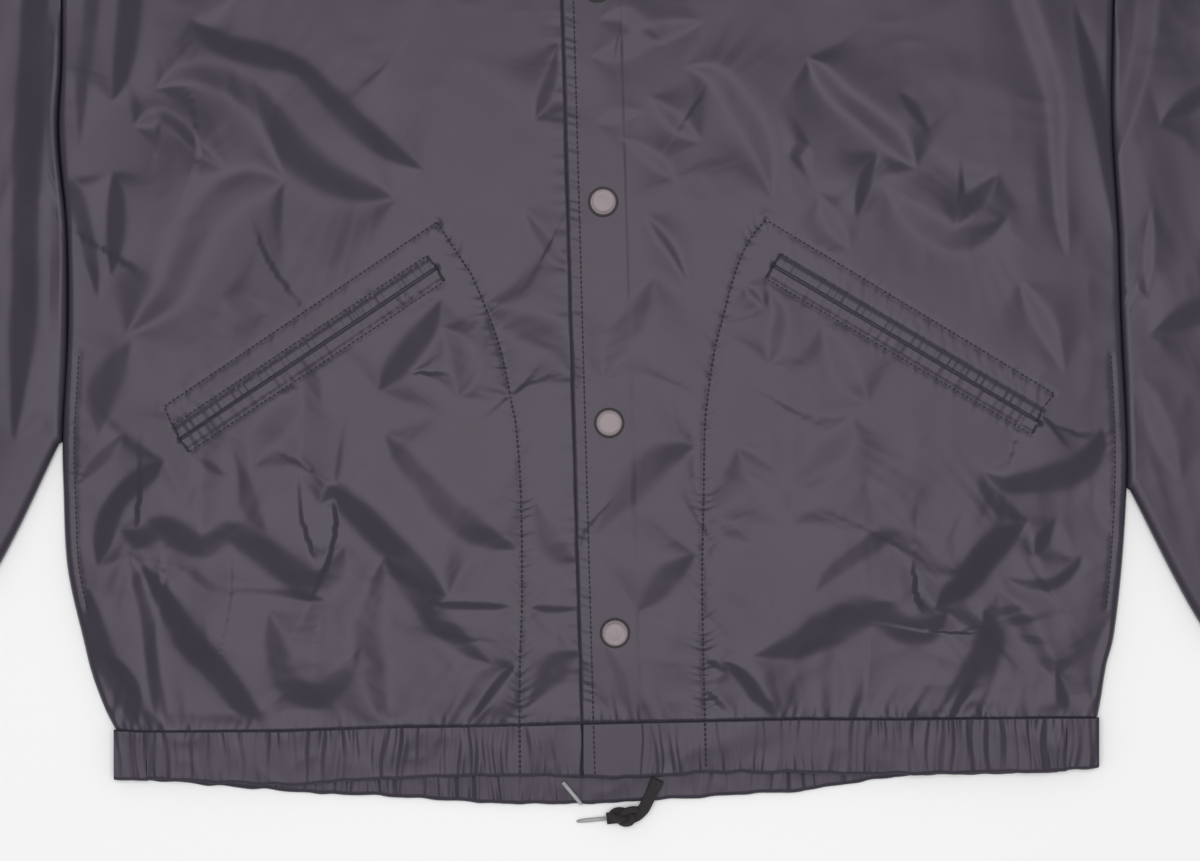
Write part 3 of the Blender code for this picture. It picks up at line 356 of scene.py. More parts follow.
# Half of the collar from its front end to the nape. Columns: x, y and z of its seam, of its roll and of its
# outer edge, with x from the leaning centre line, and how far the fall has gone round to the back
COLLAR_HALF = (
    (1.0, 650.5, 8.7, 2.0, 674.0, 10.4, 56.0, 598.0, 8.5, 0.0),
    (22.0, 652.5, 8.7, 22.0, 678.0, 10.6, 72.0, 616.0, 8.5, 0.0),
    (46.0, 664.0, 8.7, 43.0, 692.0, 11.0, 92.0, 656.0, 8.5, 0.04),
    (65.0, 684.0, 8.6, 59.0, 713.0, 11.4, 106.0, 700.0, 8.5, 0.1),
    (75.0, 706.0, 8.4, 67.0, 735.0, 11.2, 113.0, 727.0, 8.4, 0.18),
    (77.8, 719.0, 7.8, 70.0, 748.0, 11.0, 110.0, 738.0, 7.0, 0.32),
    (79.0, 724.0, 6.0, 74.0, 751.0, 8.8, 105.0, 743.0, 4.8, 0.5),
    (73.5, 724.5, 4.4, 67.0, 755.0, 6.8, 95.0, 745.0, 3.2, 0.66),
    (62.0, 722.0, 4.0, 53.0, 757.0, 7.2, 80.0, 743.5, 2.6, 0.84),
    (36.0, 716.0, 3.5, 30.0, 757.0, 6.6, 44.0, 732.0, 1.6, 0.93),
    (0.0, 713.5, 3.5, 0.0, 755.5, 6.2, 0.0, 724.0, 1.3, 1.0),
)
ROLL_WIDTH = 3.6
COLLAR_WALL = 1.0

# Pockets: the slit's inner and outer end, and the stitched lines round it, for the viewer's left and right
SLITS = {-1: ((-85.4, 265.0), (-218.1, 176.4)), 1: ((90.7, 266.2), (228.5, 185.1))}
BOXES = {
    -1: ((-222.4, 183.4), (-90.1, 271.6), (-80.8, 258.4), (-213.7, 169.5)),
    1: ((94.0, 272.7), (229.8, 191.9), (224.6, 178.4), (86.3, 259.8)),
}
UPPER_LINES = {
    -1: ((-213.7, 169.5), (-222.4, 183.4), (-226.5, 193.2), (-84.9, 289.0)),
    1: ((224.6, 178.4), (229.8, 191.9), (236.3, 199.7), (86.3, 290.2)),
}
BAG_SEAMS = {
    -1: ((-84.9, 289.0), (-71.5, 268.7), (-66.9, 261.7), (-59.9, 245.4), (-52.0, 223.4), (-45.8, 194.0),
         (-43.4, 181.0), (-41.1, 145.2), (-40.6, 92.6), (-41.6, 59.5), (-41.9, 29.6)),
    1: ((86.3, 290.2), (77.8, 279.8), (70.7, 264.3), (64.3, 241.0), (59.7, 222.9), (56.5, 202.3),
        (54.5, 181.5), (53.9, 145.2), (53.1, 102.4), (53.9, 59.5), (54.6, 29.6)),
}
# Where the bags' stitching ends, at the lower edge of the hem
BAG_ENDS = {-1: (-41.6, 2.4), 1: (55.1, 4.6)}
EDGE_STITCH = 6.0
EDGE_STITCH_SPAN = (2, 640)
HEM_STITCH_RISE = 0.9
FACING_WIDTH = 31.0
FACING_STEP = 0.25
HEM_FACING_STEP = 0.3
EDGE_CREASE = 0.2
SIDE_STITCH_SPAN = (88.0, 220.0)
SIDE_STITCH_INSET = 7.0
WELT_WIDTH = 7.4
WELT_BASE = 0.1
WELT_LIP = 0.6
SLIT_HALF = 0.3
SLIT_DEPTH = 2.0
SLIT_SPREAD = 1.3

SNAP_HEIGHTS = (75.4, 184.6, 299.5, 411.0, 522.0, 632.0)
SNAP_DIAMETER = 15.4
SNAP_LIFT = 0.1
SNAP_SIDES = 48
# The snap's ring and its cap, from the cloth upwards: radius over the snap's own, height
RING_PROFILE = ((1.0, 0.0), (1.02, 0.3), (0.99, 0.55), (0.93, 0.6), (0.91, 0.5), (0.9, 1.0))
CAP_PROFILE = ((0.895, 0.9), (0.86, 1.5), (0.8, 1.7), (0.74, 1.62), (0.7, 1.5), (0.5, 1.6), (0.25, 1.68),
               (0.02, 1.7))

# Stitches, and the close ones of the bars at the pockets' ends, which lie over the welts
STITCH_PITCH = 2.6
STITCH_LENGTH = 2.0
STITCH_LIFT = 0.1
BAR_PITCH = 1.17
BAR_LIFT = 0.5
THREAD_RADIUS = 0.45
THREAD_FLATNESS = 0.8
THREAD_SIDES = 6
# A stitch from end to end: share of its length, share of the thread's radius
STITCH_PROFILE = ((0.0, 0.35), (0.25, 1.0), (0.75, 1.0), (1.0, 0.35))

# The drawcord's free end, from the casing to the knot and its tip
CORD_WIDTH = 6.2
CORD_THICKNESS = 2.4
CORD_ROUTE = (
    (30.2, -1.2, 6.6),
    (28.2, -5.4, 6.2),
    (26.2, -9.4, 5.9),
    (24.2, -13.4, 5.3),
    (22.2, -17.0, 4.6),
    (17.6, -20.6, 4.4),
    (11.0, -20.8, 4.4),
    (3.6, -21.6, 3.2),
)
# The knot: its middle, half sizes, lean in degrees and the squeezed cord's half thickness
KNOT_MIDDLE = np.array([13.2, -19.9, 4.9])
KNOT_HALF = np.array([7.4, 4.0, 2.0])
KNOT_LEAN = 8.0
KNOT_CORD = 1.9
TIP_LENGTH = 15.6
TIP_RADIUS = 1.1
TIP_SIDES = 24
# The cord's tip, from the cord outwards: radius over its own, share of its length
TIP_PROFILE = ((0.6, 0.0), (1.0, 0.02), (1.0, 0.7), (0.85, 0.9), (0.5, 0.98), (0.1, 1.0))
TIPS = {
    "left": ((3.0, -21.6, 3.2), (-12.6, -23.4, 1.3)),
    "right": ((-19.4, -2.4, 5.1), (-9.8, -13.8, 4.5)),
}

# Colours. A pair is the dark and the light one that a grain mixes
NYLON = "#35313B"
NYLON_LIGHT = "#3C3843"
SHEEN = "#FFF0FD"
SNAP_METAL = ("#695E62", "#75696D")
SNAP_RING = ("#1A1718", "#262223")
THREAD_BLACK = ("#1A171C", "#262329")
CORD_BLACK = ("#211E20", "#2F2B2D")
TIP_GREY = ("#8E8E91", "#A6A6A8")
TABLE_WHITE = ("#F4F4F4", "#F6F6F6")
# Soft patches of about 40 mm in the nylon, and its weave. The real one has about 4 threads a millimetre,
# which are drawn at half as many so that they show
PATCHES_PER_METRE = 26.0
THREADS_PER_METRE = 1900.0
WEAVE_RISE = 0.0002
# The braid's ribs lie 1.2 mm apart: a wave's length is 0.314 m over its scale
RIB_SCALE = 0.314 / 0.0012
RIB_RISE = 0.0003


def to_frame(points):
    """Points of the garment's own measure in the frame, in metres."""
    points = np.asarray(points, float)
    return (points - np.array([BOX_MIDDLE[0], BOX_MIDDLE[1], 0.0])) / 1000


def mix(a, b, share):
    """From a at share 0 to b at share 1."""
    return a + (b - a) * share


def smooth(value):
    """From 0 to 1 with level ends."""
    value = np.clip(value, 0.0, 1.0)
    return value * value * (3 - 2 * value)


def spline(rows, share):
    """Points on the smooth curve through rows, share 0 at the first and 1 at the last."""
    rows = np.asarray(rows, float)
    place = np.clip(np.asarray(share, float), 0.0, 1.0) * (len(rows) - 1)
    start = np.minimum(place.astype(int), len(rows) - 2)
    t = (place - start)[..., None]
    a, b = rows[np.maximum(start - 1, 0)], rows[start]
    c, d = rows[start + 1], rows[np.minimum(start + 2, len(rows) - 1)]
    return 0.5 * (2 * b + (c - a) * t + (2 * a - 5 * b + 4 * c - d) * t**2 + (3 * b - a - 3 * c + d) * t**3)


def round_over(share):
    """The height of a quarter circle, from 0 at share 0 to 1 at share 1."""
    return np.sqrt(1 - (1 - np.clip(share, 0, 1)) ** 2)


def direction(start, end):
    """The unit vector from start to end, and the distance between them."""
    run = np.subtract(end, start)
    length = np.hypot(*run)
    return run / length, length


def hem_value(x, column):
    """A column of the hem's table at any x."""
    rows = np.array(HEM_LINES)
    return np.interp(x, rows[:, 0], rows[:, column])


def centre_x(y):
    """The leaning line that the snaps lie on."""
    return CENTRE_AT_HEM + CENTRE_LEAN * np.asarray(y, float)


def edge_x(y):
    """The visible front edge of the wearer's left front."""
    return centre_x(y) - OVERLAP_EDGE


def along_side(side, share):
    """The side seam's edge from the hem to the underarm, then the armhole up to the shoulder."""
    share = np.asarray(share, float)
    column = 1 if side < 0 else 2
    low = spline(SIDE_EDGES, share / SIDE_SHARE)
    high = spline(ARMHOLES, (share - SIDE_SHARE) / (1 - SIDE_SHARE))
    to_seam = hem_value(SIDE_EDGES[0][column], 1) + SEAM_GAP - SIDE_EDGES[0][0]
    side_y = low[..., 0] + to_seam * np.clip(1 - share / SIDE_SHARE, 0, 1)
    lower = np.stack([low[..., column], side_y], -1)
    upper = np.stack([high[..., column], high[..., 0]], -1)
    return np.where((share <= SIDE_SHARE)[..., None], lower, upper)


def body_edge(side, y):
    """The x of the body's outer edge at any y."""
    rows = along_side(side, np.linspace(0, 1, 400))
    return np.interp(y, rows[:, 1], rows[:, 0])


def neckline_y(x):
    """The front neckline, a quarter of an ellipse on each side."""
    share = (x - centre_x(FRONT_NECK_Y)) / NECK_HALF_WIDTH
    return SHOULDER_Y - (SHOULDER_Y - FRONT_NECK_Y) * np.sqrt(1 - share * share)


def along_top(side, share, centre_y, inner_x=0.0):
    """The neckline from inner_x beside the centre to the shoulder, then the shoulder line."""
    share = np.asarray(share, float)
    first = np.arcsin(side * inner_x / NECK_HALF_WIDTH)
    angle = mix(first, np.pi / 2, np.clip(share / NECK_SHARE, 0, 1))
    y = SHOULDER_Y - (SHOULDER_Y - centre_y) * np.cos(angle)
    neck = np.stack([centre_x(y) + side * NECK_HALF_WIDTH * np.sin(angle), y], -1)
    start = np.array([centre_x(SHOULDER_Y) + side * NECK_HALF_WIDTH, SHOULDER_Y])
    end = along_side(side, 1.0)
    line = mix(start, end, ((share - NECK_SHARE) / (1 - NECK_SHARE))[..., None])
    return np.where((share <= NECK_SHARE)[..., None], neck, line)


def patch(low, high, inner, outer, u, v):
    """Plan points inside four edges, as a grid of v rows and u columns."""
    bottom, top = low(u)[None], high(u)[None]
    left, right = inner(v)[:, None], outer(v)[:, None]
    across, down = u[None, :, None], v[:, None, None]
    ends = np.array([0.0, 1.0])
    corners = np.stack([low(ends), high(ends)])
    return (
        (1 - down) * bottom + down * top + (1 - across) * left + across * right
        - (1 - across) * (1 - down) * corners[0, 0] - across * (1 - down) * corners[0, 1]
        - (1 - across) * down * corners[1, 0] - across * down * corners[1, 1]
    )


def photo_place(column, row):
    """The garment's own measure at a pixel of the photograph."""
    return (column - PHOTO_ZERO[0]) * MM_PER_PIXEL, (PHOTO_ZERO[1] - row) * MM_PER_PIXEL


def from_line(x, y, line):
    """Each place's distance from a polyline, its side (1 is left) and the nearest point's number."""
    distance = np.full(x.shape, 1e9)
    left, nearest = np.zeros_like(x), np.zeros_like(x)
    for number, (start, end) in enumerate(zip(line, line[1:])):
        run_x, run_y = end[0] - start[0], end[1] - start[1]
        share = ((x - start[0]) * run_x + (y - start[1]) * run_y) / (run_x**2 + run_y**2)
        share = np.clip(share, 0, 1)
        off_x, off_y = x - start[0] - share * run_x, y - start[1] - share * run_y
        here = np.hypot(off_x, off_y)
        nearer = here < distance
        distance = np.where(nearer, here, distance)
        left = np.where(nearer, np.sign(run_x * off_y - run_y * off_x), left)
        nearest = np.where(nearer, number + share, nearest)
    return distance, left, nearest


def along_line(line):
    """How far along a polyline each of its points lies."""
    return np.concatenate([[0.0], np.cumsum(np.hypot(*np.diff(line, axis=0).T))])


def slopes(x, y, rows):
    """The sum of steps: each is an even slope with crisp edges that comes back slowly on both sides."""
    total = np.zeros_like(x)
    for steepness, path in rows:
        path = spline(path, np.linspace(0, 1, 3 * len(path)))
        line = np.stack(photo_place(path[:, 0], path[:, 1]), -1)
        half_widths = 0.5 * np.maximum(path[:, 2], THINNEST_SLOPE) * MM_PER_PIXEL
        reach = SLOPE_REACH * half_widths.max()
        low, high = line.min(axis=0) - reach, line.max(axis=0) + reach
        inside = (x > low[0]) & (x < high[0]) & (y > low[1]) & (y < high[1])
        distance, left, nearest = from_line(x[inside], y[inside], line)
        half = np.interp(nearest, np.arange(len(line)), half_widths)
        place = distance * left / half
        ramp = place / (1 + np.abs(place) ** 5) ** 0.2
        back = np.exp(-((np.maximum(np.abs(place) - 1, 0) / SLOPE_RETURN) ** 1.5))
        total[inside] += steepness * SLOPE_STEEPNESS * half * ramp * back
    return total


def lattice(x, y, pitch, seed):
    """Even noise from -1 to 1: values on a square lattice, joined smoothly."""
    values = np.random.default_rng(seed).uniform(-1, 1, (LATTICE_CELLS + 1, LATTICE_CELLS + 1))
    column, row = x / pitch + 40.0, y / pitch + 20.0
    i, j = np.floor(column).astype(int), np.floor(row).astype(int)
    a, b = smooth(column - i), smooth(row - j)
    i, j = i % LATTICE_CELLS, j % LATTICE_CELLS
    low = mix(values[j, i], values[j, i + 1], a)
    high = mix(values[j + 1, i], values[j + 1, i + 1], a)
    return mix(low, high, b)


def crumple(x, y, seed):
    """Small creases all over: warped noise folded at its zero, so that its creases are crisp."""
    bent_x = x + CRUMPLE_BEND * lattice(x, y, BEND_WIDTH, seed)
    bent_y = y + CRUMPLE_BEND * lattice(x, y, BEND_WIDTH, seed + 1)
    large = np.abs(lattice(bent_x, 0.7 * bent_y, CRUMPLE_WIDTH, seed + 2))
    small = np.abs(lattice(bent_x, bent_y, 0.45 * CRUMPLE_WIDTH, seed + 3))
    return 1.0 - 1.1 * np.sqrt(large**2 + 0.01) - 0.45 * np.sqrt(small**2 + 0.02)


def wrinkle(reach, seed, pitch):
    """An uneven wave along a seam, from about -1 to 1."""
    turn = 2 * np.pi * reach / pitch
    return (
        0.5 * np.sin(turn + 2.1 * np.sin(0.31 * turn + seed))
        + 0.35 * np.sin(1.7 * turn + 1.3 * seed + np.sin(0.23 * turn))
        + 0.15 * np.sin(2.9 * turn + 2.7 * seed)
    )


def puckers(x, y, line, seed, reach_out, height, pitch):
    """A stitched seam: it sinks into the cloth, which puckers on both sides of it."""
    distance, _, nearest = from_line(x, y, line)
    reach = np.interp(nearest, np.arange(len(line)), along_line(line))
    fan = np.exp(-((distance / reach_out) ** 2))
    lean = PUCKER_LEAN + 0.35 * np.sin(reach / 17 + seed)
    ripple = height * wrinkle(reach + lean * distance, seed, pitch) * fan
    return ripple - SEAM_GROOVE * np.exp(-((distance / GROOVE_WIDTH) ** 2))


def seam_puckers(side):
    """A front's puckered seams. Columns: line, seed, how far the puckers reach, their height and pitch."""
    return (
        (smooth_line(BAG_SEAMS[side]), side + 2.0, *BAG_PUCKERS),
        (UPPER_LINES[side][2:], side + 4.0, *UPPER_LINE_PUCKERS),
        (BOXES[side][:2], side + 6.0, *BOX_TOP_PUCKERS),
        (BOXES[side][2:], side + 8.0, *BOX_FOOT_PUCKERS),
        (side_stitch(side), side + 9.0, *SIDE_PUCKERS),
    )


def relief(x, y):
    """The upper surface of the closed fronts above their plain level."""
    away = smooth(np.abs(x - centre_x(y)) / 30.0 - 0.3)
    from_hem = smooth((y - hem_value(x, 1)) / 12.0)
    lower_body = smooth((LOWER_BODY_Y - y) / 120)
    total = slopes(x, y, PHOTO_SLOPES + UPPER_SLOPES) * mix(0.75, 1.0, away) * from_hem
    total += (CRUMPLE_HEIGHT + LOWER_CRUMPLE * lower_body) * crumple(x, y, 11) * mix(0.6, 1.0, away)
    for side in (-1, 1):
        for seam in seam_puckers(side):
            total += puckers(x, y, *seam)
        from_slit = from_line(x, y, SLITS[side])[0]
        total -= SLIT_DEPTH * np.exp(-((from_slit / SLIT_SPREAD) ** 2))
    total += placket(x, y)
    total += hem_puckers(x, y)
    return MOST_RELIEF * np.tanh(total / MOST_RELIEF)


def placket(x, y):
    """Cross creases between the front edge and its stitching, and the inner edge of the facing."""
    from_edge = x - edge_x(y)
    on_edge = smooth(from_edge / 1.5) * smooth((9.0 - from_edge) / 4.0)
    beside = np.exp(-((np.minimum(from_edge, 0.0) / 7.0) ** 2)) * (from_edge < 0)
    creases = wrinkle(y + 0.3 * from_edge, 5.0, 6.5)
    facing = smooth((FACING_WIDTH - from_edge) / 1.2) * (from_edge > 0)
    shallow = 0.25 * wrinkle(y, 6.0, 14.0) * beside
    return EDGE_CREASE * creases * on_edge + shallow + FACING_STEP * facing


def hem_puckers(x, y):
    """Short puckers that run up out of the hem seam, with a longer one here and there."""
    up = y - hem_value(x, 1)
    lean = x + 0.35 * up * np.sin(x / 23.0)
    uneven = 0.5 + 0.5 * np.sin(x / 19.0 + 2.0 * np.sin(x / 47.0))
    reach, height, pitch = HEM_SHORT_PUCKERS
    short = height * wrinkle(lean, 7.0, pitch) * np.exp(-((up / reach) ** 1.5)) * mix(0.4, 1.0, uneven)
    reach, height, pitch = HEM_TALL_PUCKERS
    lean = x + 0.6 * up * np.sin(x / 37.0)
    return short + height * wrinkle(lean, 8.0, pitch) * np.exp(-((up / reach) ** 2)) * uneven


def side_stitch(side):
    """The stitched side seam that shows a little inside the edge of the lower body."""
    y = np.linspace(*SIDE_STITCH_SPAN, 24)
    return np.stack([body_edge(side, y) - side * SIDE_STITCH_INSET, y], -1)


def smooth_line(line, steps=40):
    """A smooth run through a table's points."""
    return spline(line, np.linspace(0, 1, steps))


def front_height(x, y):
    """The upper surface of the closed fronts."""
    return np.maximum(FRONT_TOP + relief(x, y), FRONT_LEAST)


def hex_colour(text):
    """An sRGB hex value as a linear colour."""
    channels = np.array([int(text[i : i + 2], 16) / 255 for i in (1, 3, 5)])
    linear = np.where(channels <= 0.04045, channels / 12.92, ((channels + 0.055) / 1.055) ** 2.4)
    return (*linear, 1.0)


def add_object(name, data):
    """An object at the frame's zero that holds a mesh, a curve, a light or a camera."""
    made = bpy.data.objects.new(name, data)
    bpy.context.scene.collection.objects.link(made)
    return made


def add_mesh(name, points, faces):
    """A smooth mesh of the garment's own points."""
    mesh = bpy.data.meshes.new(name)
    mesh.from_pydata(to_frame(points).tolist(), [], faces)
    mesh.validate()
    mesh.shade_smooth()
    return add_object(name, mesh)


def add_sheet(name, grid, closed=False, flip=False):
    """A sheet through rows of points. A closed one joins each row's last column to its first."""
    rows, columns = grid.shape[:2]
    index = np.arange(rows * columns).reshape(rows, columns)
    if closed:
        index = np.concatenate([index, index[:, :1]], axis=1)
    corners = [index[:-1, :-1], index[:-1, 1:], index[1:, 1:], index[1:, :-1]]
    quads = np.stack(corners[::-1] if flip else corners, -1).reshape(-1, 4)
    return add_mesh(name, grid.reshape(-1, 3), quads.tolist())


def add_cord(name, places, thickness, steps):
    """A round cord along points of the garment's own measure, as a curve that can be widened or closed."""
    curve = bpy.data.curves.new(name, "CURVE")
    curve.dimensions = "3D"
    curve.bevel_depth = thickness / 2000
    curve.bevel_resolution = steps
    line = curve.splines.new("POLY")
    line.points.add(len(places) - 1)
    for point, place in zip(line.points, to_frame(places)):
        point.co = (*place, 1.0)
    return add_object(name, curve)


def finish_piece(piece, material, slot, *nodes):
    """The piece's material and body, and the CAD nodes that it stands for. The slot is not used."""
    piece.data.materials.clear()
    piece.data.materials.append(material)
    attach(piece, "root")
    if nodes:
        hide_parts(*nodes)
    return piece


def add_node(tree, kind, links=None, **settings):
    """One shader node, with its settings by socket name or property, and what links into it."""
    node = tree.nodes.new(kind)
    for key, value in settings.items():
        if hasattr(node, key):
            setattr(node, key, value)
        else:
            node.inputs[key.replace("_", " ")].default_value = value
    for key, socket in (links or {}).items():
        tree.links.new(socket, node.inputs[key])
    return node


def new_material(name):
    """A material, its nodes and its main shader."""
    material = bpy.data.materials.new(name)
    material.use_nodes = True
    tree = material.node_tree
    return material, tree, tree.nodes["Principled BSDF"]


def satin_nylon(name):
    """Nylon taffeta, calendered to a soft satin sheen: flats shine a little violet and slopes go dark."""
    material, tree, shader = new_material(name)
    place = add_node(tree, "ShaderNodeTexCoord").outputs["Object"]
    patches = add_node(tree, "ShaderNodeTexNoise", {"Vector": place}, Scale=PATCHES_PER_METRE, Detail=3.0)
    patches.inputs["Roughness"].default_value = 0.55
    mixed = {"Factor": patches.outputs["Fac"]}
    dark, light = hex_colour(NYLON), hex_colour(NYLON_LIGHT)
    shade = add_node(tree, "ShaderNodeMix", mixed, data_type="RGBA", A=dark, B=light)
    tree.links.new(shade.outputs["Result"], shader.inputs["Base Color"])
    scale = (THREADS_PER_METRE, THREADS_PER_METRE, 1.0)
    threads = add_node(tree, "ShaderNodeMapping", {"Vector": place}, Scale=scale).outputs["Vector"]
    weave = add_node(tree, "ShaderNodeTexNoise", {"Vector": threads}, Scale=1.0, Detail=2.0).outputs["Fac"]
    bump = add_node(tree, "ShaderNodeBump", {"Height": weave}, Strength=0.12, Distance=WEAVE_RISE)
    tree.links.new(bump.outputs["Normal"], shader.inputs["Normal"])
    shader.inputs["Roughness"].default_value = 0.3
    shader.inputs["Specular IOR Level"].default_value = 0.22
    shader.inputs["Specular Tint"].default_value = hex_colour(SHEEN)
    return material


def grained_finish(name, colours, grain, rise, roughness, metallic=0.0):
    """Two near colours mixed by a grain of so many millimetres, which also stands up a little."""
    material, tree, shader = new_material(name)
    place = add_node(tree, "ShaderNodeTexCoord").outputs["Object"]
    noise = add_node(tree, "ShaderNodeTexNoise", {"Vector": place}, Scale=1000 / grain, Detail=4.0)
    mixed = {"Factor": noise.outputs["Fac"]}
    dark, light = hex_colour(colours[0]), hex_colour(colours[1])
    shade = add_node(tree, "ShaderNodeMix", mixed, data_type="RGBA", A=dark, B=light)
    tree.links.new(shade.outputs["Result"], shader.inputs["Base Color"])
    bump = add_node(tree, "ShaderNodeBump", {"Height": noise.outputs["Fac"]}, Distance=rise / 1000)
    tree.links.new(bump.outputs["Normal"], shader.inputs["Normal"])
    shader.inputs["Roughness"].default_value = roughness
    shader.inputs["Metallic"].default_value = metallic
    return material


def braided_cord(name, colours):
    """Flat braided polyester: dull, with ribs across and along it where the strands pass."""
    material = grained_finish(name, colours, 0.5, 0.1, 0.85)
    tree = material.node_tree
    place = add_node(tree, "ShaderNodeTexCoord").outputs["Object"]
    both = add_node(tree, "ShaderNodeMath", operation="MAXIMUM")
    for socket, way in enumerate(("X", "Y")):
        ribs = add_node(tree, "ShaderNodeTexWave", {"Vector": place}, bands_direction=way, Scale=RIB_SCALE)
        ribs.inputs["Distortion"].default_value = 1.0
        tree.links.new(ribs.outputs["Fac"], both.inputs[socket])
    bump = add_node(tree, "ShaderNodeBump", {"Height": both.outputs["Value"]}, Distance=RIB_RISE)
    tree.links.new(bump.outputs["Normal"], tree.nodes["Principled BSDF"].inputs["Normal"])
    return material


def front_sheet(side):
    """A front's plan and heights, from the closure to the side seam."""
    offset = 0.0 if side > 0 else UNDERLAP
    top_y = float(neckline_y(edge_x(FRONT_NECK_Y) + offset))
    v = np.concatenate([np.linspace(0, SIDE_SHARE, 326), np.linspace(SIDE_SHARE, 1, 86)[1:]])
    u = np.concatenate([np.linspace(0, CLOSURE_SHARE, 46), np.linspace(CLOSURE_SHARE, 1, 195)[1:]])

    def inner(v):
        y = mix(float(hem_value(edge_x(0), 1)) + SEAM_GAP, top_y, np.asarray(v, float))
        return np.stack([edge_x(y) + offset, y], -1)

    def low(u):
        x = mix(inner(0.0)[0], along_side(side, 0.0)[0], u)
        return np.stack([x, hem_value(x, 1) + SEAM_GAP], -1)

    def high(u):
        return along_top(side, u, FRONT_NECK_Y, inner(1.0)[0] - float(centre_x(FRONT_NECK_Y)))

    def outer(v):
        return along_side(side, v)

    plan = patch(low, high, inner, outer, u, v)
    x, y = plan[..., 0], plan[..., 1]
    to_side = np.abs(x - body_edge(side, y))
    to_shoulder = (1 - v[:, None]) * SHOULDER_REACH
    near = np.where(u[None] > NECK_SHARE, np.minimum(to_side, to_shoulder), SIDE_ROUNDING)
    near = np.where(y < CHEST_Y, to_side, near)
    z = mix(SIDE_LOW, front_height(x, y), round_over(near / SIDE_ROUNDING))
    from_edge = x - edge_x(y)
    if side > 0:
        z -= EDGE_ROLL * (1 - smooth(from_edge))
    else:
        z -= OVERLAP_STEP * smooth(from_edge / EDGE_ROLL + 1)
    z -= SEAM_DIP * (1 - smooth((y - hem_value(x, 1)) / SEAM_DIP_WIDTH))
    return np.dstack([x, y, z])


def build_fronts(nylon):
    """The two fronts, the wearer's left one over the right one."""
    for side in (-1, 1):
        grid = front_sheet(side)
        name = WEARER_SIDES[side]
        piece = add_sheet(f"{name}_front_cloth", grid, flip=side < 0)
        finish_piece(piece, nylon, "nylon", f"{name}_front")


def back_seam(x, ends):
    """The back's hem seam: it dips below the fronts' one between the wrapped ends of its casing."""
    start, end = ends[0] + HEM_WRAP, ends[1] - HEM_WRAP
    share = np.clip((x - start) / (end - start), 0, 1)
    return hem_value(x, 1) - BACK_SEAM_DROP * np.sin(np.pi * share) ** 2


def build_back(nylon):
    """The back: one flat panel, two sheets joined round their edges."""
    u = np.linspace(0, 1, 121)
    v = np.linspace(0, 1, 141)

    def low(u):
        x = mix(along_side(-1, 0.0)[0], along_side(1, 0.0)[0], u)
        return np.stack([x, back_seam(x, (HEM_LINES[0][0], HEM_LINES[-1][0])) + SEAM_GAP], -1)

    def high(u):
        left = along_top(-1, np.abs(2 * u - 1), BACK_NECK_Y)
        right = along_top(1, np.abs(2 * u - 1), BACK_NECK_Y)
        return np.where((u < 0.5)[:, None], left, right)

    plan = patch(low, high, lambda v: along_side(-1, v), lambda v: along_side(1, v), u, v)
    upper = np.dstack([plan, np.full(plan.shape[:2], BACK_TOP)])
    lower = np.dstack([plan, np.zeros(plan.shape[:2])])
    top = add_sheet("back_cloth", upper)
    under = add_sheet("back_underside", lower, flip=True)
    bpy.ops.object.select_all(action="DESELECT")
    for part in (top, under):
        part.select_set(True)
    bpy.context.view_layer.objects.active = top
    bpy.ops.object.join()
    bpy.ops.object.mode_set(mode="EDIT")
    bpy.ops.mesh.select_mode(type="EDGE")
    bpy.ops.mesh.select_all(action="DESELECT")
    bpy.ops.mesh.select_non_manifold()
    bpy.ops.mesh.bridge_edge_loops()
    bpy.ops.object.mode_set(mode="OBJECT")
    top.select_set(False)
    finish_piece(top, nylon, "nylon", "back")


def hem_gathers(x, share, seed):
    """Gathers over the elastic: close at the seam and the edge, and wider and softer between them."""
    fine = wrinkle(x + 0.8 * np.sin(3 * share + x / 9), seed, HEM_GATHERS[0])
    wide = wrinkle(x + 3.0 * (share - 0.5) * np.sin(x / 31 + seed), seed + 1.0, HEM_GATHERS[1])
    strength = 0.65 + 0.3 * np.sin(x / 43 + 3 * share + seed)
    near_end = np.abs(2 * share - 1) ** 2
    return (mix(0.12, 0.3, near_end) * fine + mix(0.5, 0.36, near_end) * wide) * strength


def hem_top(x, share, crown, seed, side):
    """How high a casing's upper side lies: 1 and -1 are the fronts' ones, which lie flat at the closure."""
    lumps = HEM_LUMPS * crumple(x, 30.0 * share + 0 * x, 21 + int(seed))
    ripple = hem_gathers(x, share, seed) + lumps
    if side > 0:
        ripple *= mix(0.15, 1.0, smooth((np.abs(x - FLAT_HEM[0]) - FLAT_HEM[1]) / 6.0))
        ripple += HEM_FACING_STEP * smooth((edge_x(0) + FACING_WIDTH - x) / 1.2)
    if side < 0:
        ripple -= UNDERLAP_DIP * smooth((x - edge_x(0)) / 1.8 + 1)
    return crown - HEM_SLACK + ripple


def top_height(x, y):
    """The garment's upper side: the fronts, and below their seam the fronts' casings."""
    share = np.clip((y - hem_value(x, 2)) / (hem_value(x, 1) - hem_value(x, 2)), 0, 1)
    left = hem_top(x, share, LEFT_HEM[1], LEFT_HEM[0], 1)
    right = hem_top(x, share, RIGHT_HEM[1], RIGHT_HEM[0], -1)
    return np.where(y > hem_value(x, 1), front_height(x, y), np.where(x > edge_x(0), left, right))


